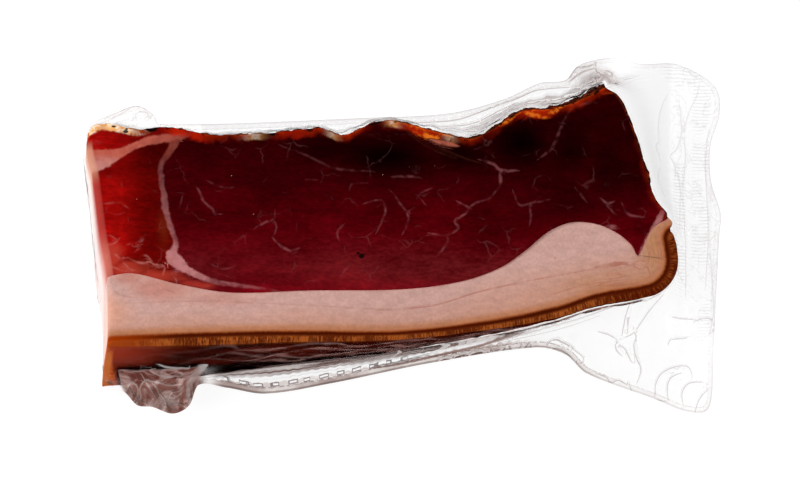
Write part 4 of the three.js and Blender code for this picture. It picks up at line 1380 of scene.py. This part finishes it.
filmLook = {
    "clear": (1, 1, 1),
    "shaded": (0.7, 0.7, 0.705),
    "turned": (0.42, 0.38, 0.375),
    "crease": (0.52, 0.47, 0.46),
    "deepCreaseShade": (0.24, 0.13, 0.11),
    "ruffle": (0.22, 0.13, 0.11),
    "ruffleHighlight": (0.6, 0.48, 0.45),
    "ruffleShade": (0.11, 0.045, 0.035),
    "ruffleBody": (0.24, 0.07, 0.055),
    "ruffleShine": (0.52, 0.33, 0.3),
    "bandReflection": (0.27, 0.18, 0.165),
    "bandLight": (0.88, 0.84, 0.82),
    "bandHem": (0.55, 0.46, 0.44),
    "stitched": (0.22, 0.17, 0.17),
    "hemLine": (0.5, 0.43, 0.41),
    "crestHighlight": (0.92, 0.89, 0.88),
    "netHighlight": (0.62, 0.33, 0.29),
    "straightOn": 0.012,        # share of light that the film mirrors, seen square on
    "grazing": 0.6,
    "gloss": 0.06,
    "stitch": (5.6, 1.15, 0.55, 2.9),              # period, half length, half height, place from the edge
}


def filmMaterial():
    found = bpy.data.materials.get("clearFilm")
    if found:
        return found
    look = filmLook
    material = newMaterial("clearFilm", look)
    place = add("TexCoord").outputs["Object"]
    shade, brown, band, _ = painted("film")
    along, toEdge, stitched, hemForce = painted("run")
    signed, away, rise, ribs = painted("folds")
    turn, shine, share, creases = painted("look")
    # fine wrinkles, with a painted highlight line beside a painted shade line where they are steepest
    wrinkles = grain(place, 150, 3, (1, 1, 1), 0.5, 0.8)
    bump = wire("Bump", {"Height": times(wrinkles, creases), "Strength": 0.6, "Distance": 0.0008})
    facing = add("LayerWeight", {"Blend": 0.5, "Normal": bump}).outputs["Facing"]
    mirror = timesPlus(sums("POWER", facing, 4.5), look["grazing"], look["straightOn"])
    mirror = times(mirror, shine)

    def ridge(value, middle, half):
        # a line where value passes its middle
        off = size(minus(value, middle))
        return between(off, half, half * 0.3)

    wrinkleHighlight = times(ridge(wrinkles, 0.5, 0.012), creases)
    wrinkleShade = times(ridge(wrinkles, 0.53, 0.022), creases)
    # folds: a painted highlight on the crest and painted shade in the crease beside it
    strong = between(rise, 0.1, 0.9)
    crestHighlight = times(ridge(signed, -0.4, 0.75), strong)
    crease = times(ridge(signed, 0.55, 0.6), strong, between(away, 2.5, 1.2))
    # the flap and the edges are a little grey
    clear = blend(shade, "clear", "shaded")
    # under the rind it shows streaks of painted reflection of the dark meat, then clear, then gathered in
    # the hem
    course = flow(times(along, 0.03), times(share, 8.0))
    streaks = noise(course, 1, 4, 0.6)
    course = flow(times(along, 0.018), times(share, 26.0), 7.0)
    threads = noise(course, 1, 3)
    reflectedStreaks = plus(streaks, swing(threads, 0.3))
    streaky = blend(between(reflectedStreaks, 0.4, 0.6), "bandReflection", "bandLight")
    edge = timesPlus(streaks, 0.25, share)
    inBand = blend(between(edge, 0.42, 0.56), streaky, "clear")
    inHem = blend(between(streaks, 0.4, 0.6), "bandHem", "bandLight")
    inBand = blend(between(edge, 0.78, 0.88), inBand, inHem)
    clear = blend(band, clear, inBand)
    # the gathered corner: painted dark meat and shade seen through it, with painted highlights and shade in
    # its drapes
    drapes = grain(place, 130, 3, (1.3, 0.8, 1), 0.5, 1.2)
    gathered = blend(between(drapes, 0.44, 0.64), "ruffle", "ruffleHighlight")
    gathered = blend(between(drapes, 0.46, 0.36), gathered, "ruffleShade")
    clear = blend(brown, clear, gathered)
    # the film turns dark where it stands on edge
    turned = times(between(facing, 0.15, 0.9), turn)
    clear = blend(turned, clear, "turned", "MULTIPLY")
    # painted shade in creases and wrinkles, darker over the streaks and the gathered corner
    deep = larger(brown, band)
    creaseTone = blend(deep, "crease", "deepCreaseShade")
    clear = blend(times(larger(crease, wrinkleShade), 0.85), clear, creaseTone)
    # the hem's two lines, pinched here and there, and a row of little stitched boxes beside it
    pinched = between(noise(times(along, 0.6), 1), 0.35, 0.6)
    hemLine = larger(ridge(toEdge, 0.35, 0.4), times(ridge(toEdge, 1.9, 0.3), pinched))
    hemBand = times(between(toEdge, 2.1, 1.7), between(streaks, 0.62, 0.42, 0.2, 0.6))
    clear = blend(times(hemBand, hemForce), clear, "bandHem", "MULTIPLY")
    clear = blend(times(hemLine, hemForce), clear, "hemLine", "MULTIPLY")
    period, halfLength, halfHeight, fromEdge = look["stitch"]
    uneven = noise(times(along, 0.21), 1, 3)
    shifted = timesPlus(uneven, 7.0, along)
    across = minus(sums("FLOORED_MODULO", shifted, period), period / 2)
    across = minus(size(across), halfLength)
    inward = minus(timesPlus(uneven, 1.2, toEdge), 0.6)
    inward = size(minus(inward, fromEdge))
    box = larger(across, minus(inward, halfHeight))
    outline = between(size(box), 0.32, 0.1)
    clear = blend(times(between(box, 0.1, -0.1), stitched), clear, "clear")
    clear = blend(times(outline, stitched, 0.9), clear, "stitched")
    # pressed ribs, with painted shade in stripes along them
    y = add("SeparateXYZ", {0: place}).outputs[1]
    bent = timesPlus(y, 1 / mm, times(grain(place, 180, 2), 1.4))
    pressed = sums("SINE", times(bent, 2 * math.pi / bag["rib"]))
    clear = blend(times(between(pressed, 0.0, 1.0), ribs, 0.45), clear, "shaded", "MULTIPLY")
    # where it clings under the rind it shows painted highlight lines round dark lenses
    netted, netX, netZ, _ = painted("netHighlight")
    astray = swing(grain(place, 45, 3), 9.0)
    gaps = []
    for height, sway, length, start in clingLines:
        phase = timesPlus(plus(netX, times(astray, 1.6)), 2 * math.pi / length, start)
        wave = timesPlus(sums("SINE", phase), -sway, plus(netZ, astray))
        gaps.append(size(minus(wave, height)))
    nearest = gaps[0]
    for gap in gaps[1:]:
        nearest = sums("MINIMUM", nearest, gap)
    fray = grain(place, 300, 3, (0.4, 1, 1.5), 0.6)
    netHighlight = times(between(nearest, timesPlus(fray, 3.0, 0.3), 0.0), netted)
    netHighlight = times(netHighlight, between(fray, 0.35, 0.6, 0.35, 1.0))
    see = add("BsdfTransparent", {"Color": clear})
    gloss = add("BsdfAnisotropic", {"Color": (1, 1, 1, 1), "Roughness": look["gloss"], "Normal": bump})
    film = add("MixShader", {0: mirror, 1: see.outputs[0], 2: gloss.outputs[0]})
    # painted light: highlights on crests and wrinkles, the pale net lines and the ruffle's body go in as a
    # diffuse layer
    lit = larger(crestHighlight, wrinkleHighlight)
    bodyTone = blend(between(drapes, 0.46, 0.7), "ruffleBody", "ruffleShine")
    bodyTone = blend(times(lit, 0.6), bodyTone, "ruffleHighlight")
    crestTone = blend(between(netted, 0.0, 0.1), blend(brown, "crestHighlight", bodyTone), "netHighlight")
    white = add("BsdfDiffuse", {"Color": crestTone, "Normal": bump})
    paintedLight = larger(times(lit, timesPlus(deep, 0.35, 0.25)), times(netHighlight, 0.26))
    body = times(between(brown, 0.55, 1.0), between(drapes, 0.35, 0.65, 0.45, 0.62))
    paintedLight = larger(paintedLight, body)
    film = add("MixShader", {0: paintedLight, 1: film.outputs[0], 2: white.outputs[0]})
    add("OutputMaterial", {0: film.outputs[0]})
    return material


makeLean()
print("lean made")
makeFat()
print("fat and rind made")
makeClingFilm()
print("clinging film made")
makeFreeFilm()
print("free film made")

# floor, lights and camera
studio = {
    "floorSize": 4.0,
    "floorTone": 0.26,
    "floorGlow": 0.86,          # the floor is a lit table
    "skyToCamera": 1.0,
    "skyAtHorizon": 0.9,        # what film and meat mirror of the room, at eye level and overhead
    "skyOverhead": 0.12,
    "key": {"at": (-0.35, 0.8, 0.75), "size": 0.7, "watts": 9.5},
    "left": {"at": (-1.0, -0.35, 0.6), "size": 0.5, "watts": 4.8},
    "right": {"at": (0.9, -0.7, 0.7), "size": 0.5, "watts": 4.8},
}
camera = {"at": (-88.5, -233.5, 1117.0), "towards": (5.3, -5.6, 45.0), "lens": 150}

bpy.ops.object.select_all(action="DESELECT")
bpy.ops.mesh.primitive_plane_add(size=studio["floorSize"], location=(0, 0, 0))
floor = bpy.context.object
floor.name = "floor"
floorMaterial = newMaterial("paleFloor")
matt = add("BsdfDiffuse", {"Color": (*(studio["floorTone"],) * 3, 1)})
lit = add("Emission", {"Color": (1, 1, 1, 1), "Strength": studio["floorGlow"]})
add("OutputMaterial", {0: wire("AddShader", {0: matt.outputs[0], 1: lit.outputs[0]})})
floor.data.materials.append(floorMaterial)

for name in ("key", "left", "right"):
    light = studio[name]
    bpy.ops.object.light_add(type="AREA", location=light["at"])
    lamp = bpy.context.object
    lamp.name = name + "Light"
    lamp.data.size = light["size"]
    lamp.data.energy = light["watts"]
    lamp.rotation_euler = (-Vector(light["at"])).to_track_quat("-Z", "Y").to_euler()

sky = bpy.data.worlds.new("softSky")
bpy.context.scene.world = sky
sky.use_nodes = True
wiring["tree"] = sky.node_tree
sky.node_tree.nodes.clear()
direction = add("SeparateXYZ", {0: add("TexCoord").outputs["Generated"]}).outputs[2]
room = between(direction, 0.35, 0.85, studio["skyAtHorizon"], studio["skyOverhead"])
seen = add("LightPath").outputs["Is Camera Ray"]
bright = wire("Mix", {0: seen, 2: room, 3: studio["skyToCamera"]}, data_type="FLOAT")
backdrop = add("Background", {"Color": (1, 1, 1, 1), "Strength": bright})
add("OutputWorld", {0: backdrop.outputs[0]})

lensData = bpy.data.cameras.new("camera")
lensData.lens = camera["lens"]
lensData.sensor_width = 36
eye = bpy.data.objects.new("camera", lensData)
bpy.context.scene.collection.objects.link(eye)
eye.location = Vector(camera["at"]) * mm
back = (eye.location - Vector(camera["towards"]) * mm).normalized()
right = Vector((back.z, 0, -back.x)).normalized()          # the picture's level lines run along X
eye.rotation_euler = Matrix((right, back.cross(right), back)).transposed().to_euler()
bpy.context.scene.camera = eye
bpy.context.scene.view_settings.view_transform = "Standard"
print("studio set")
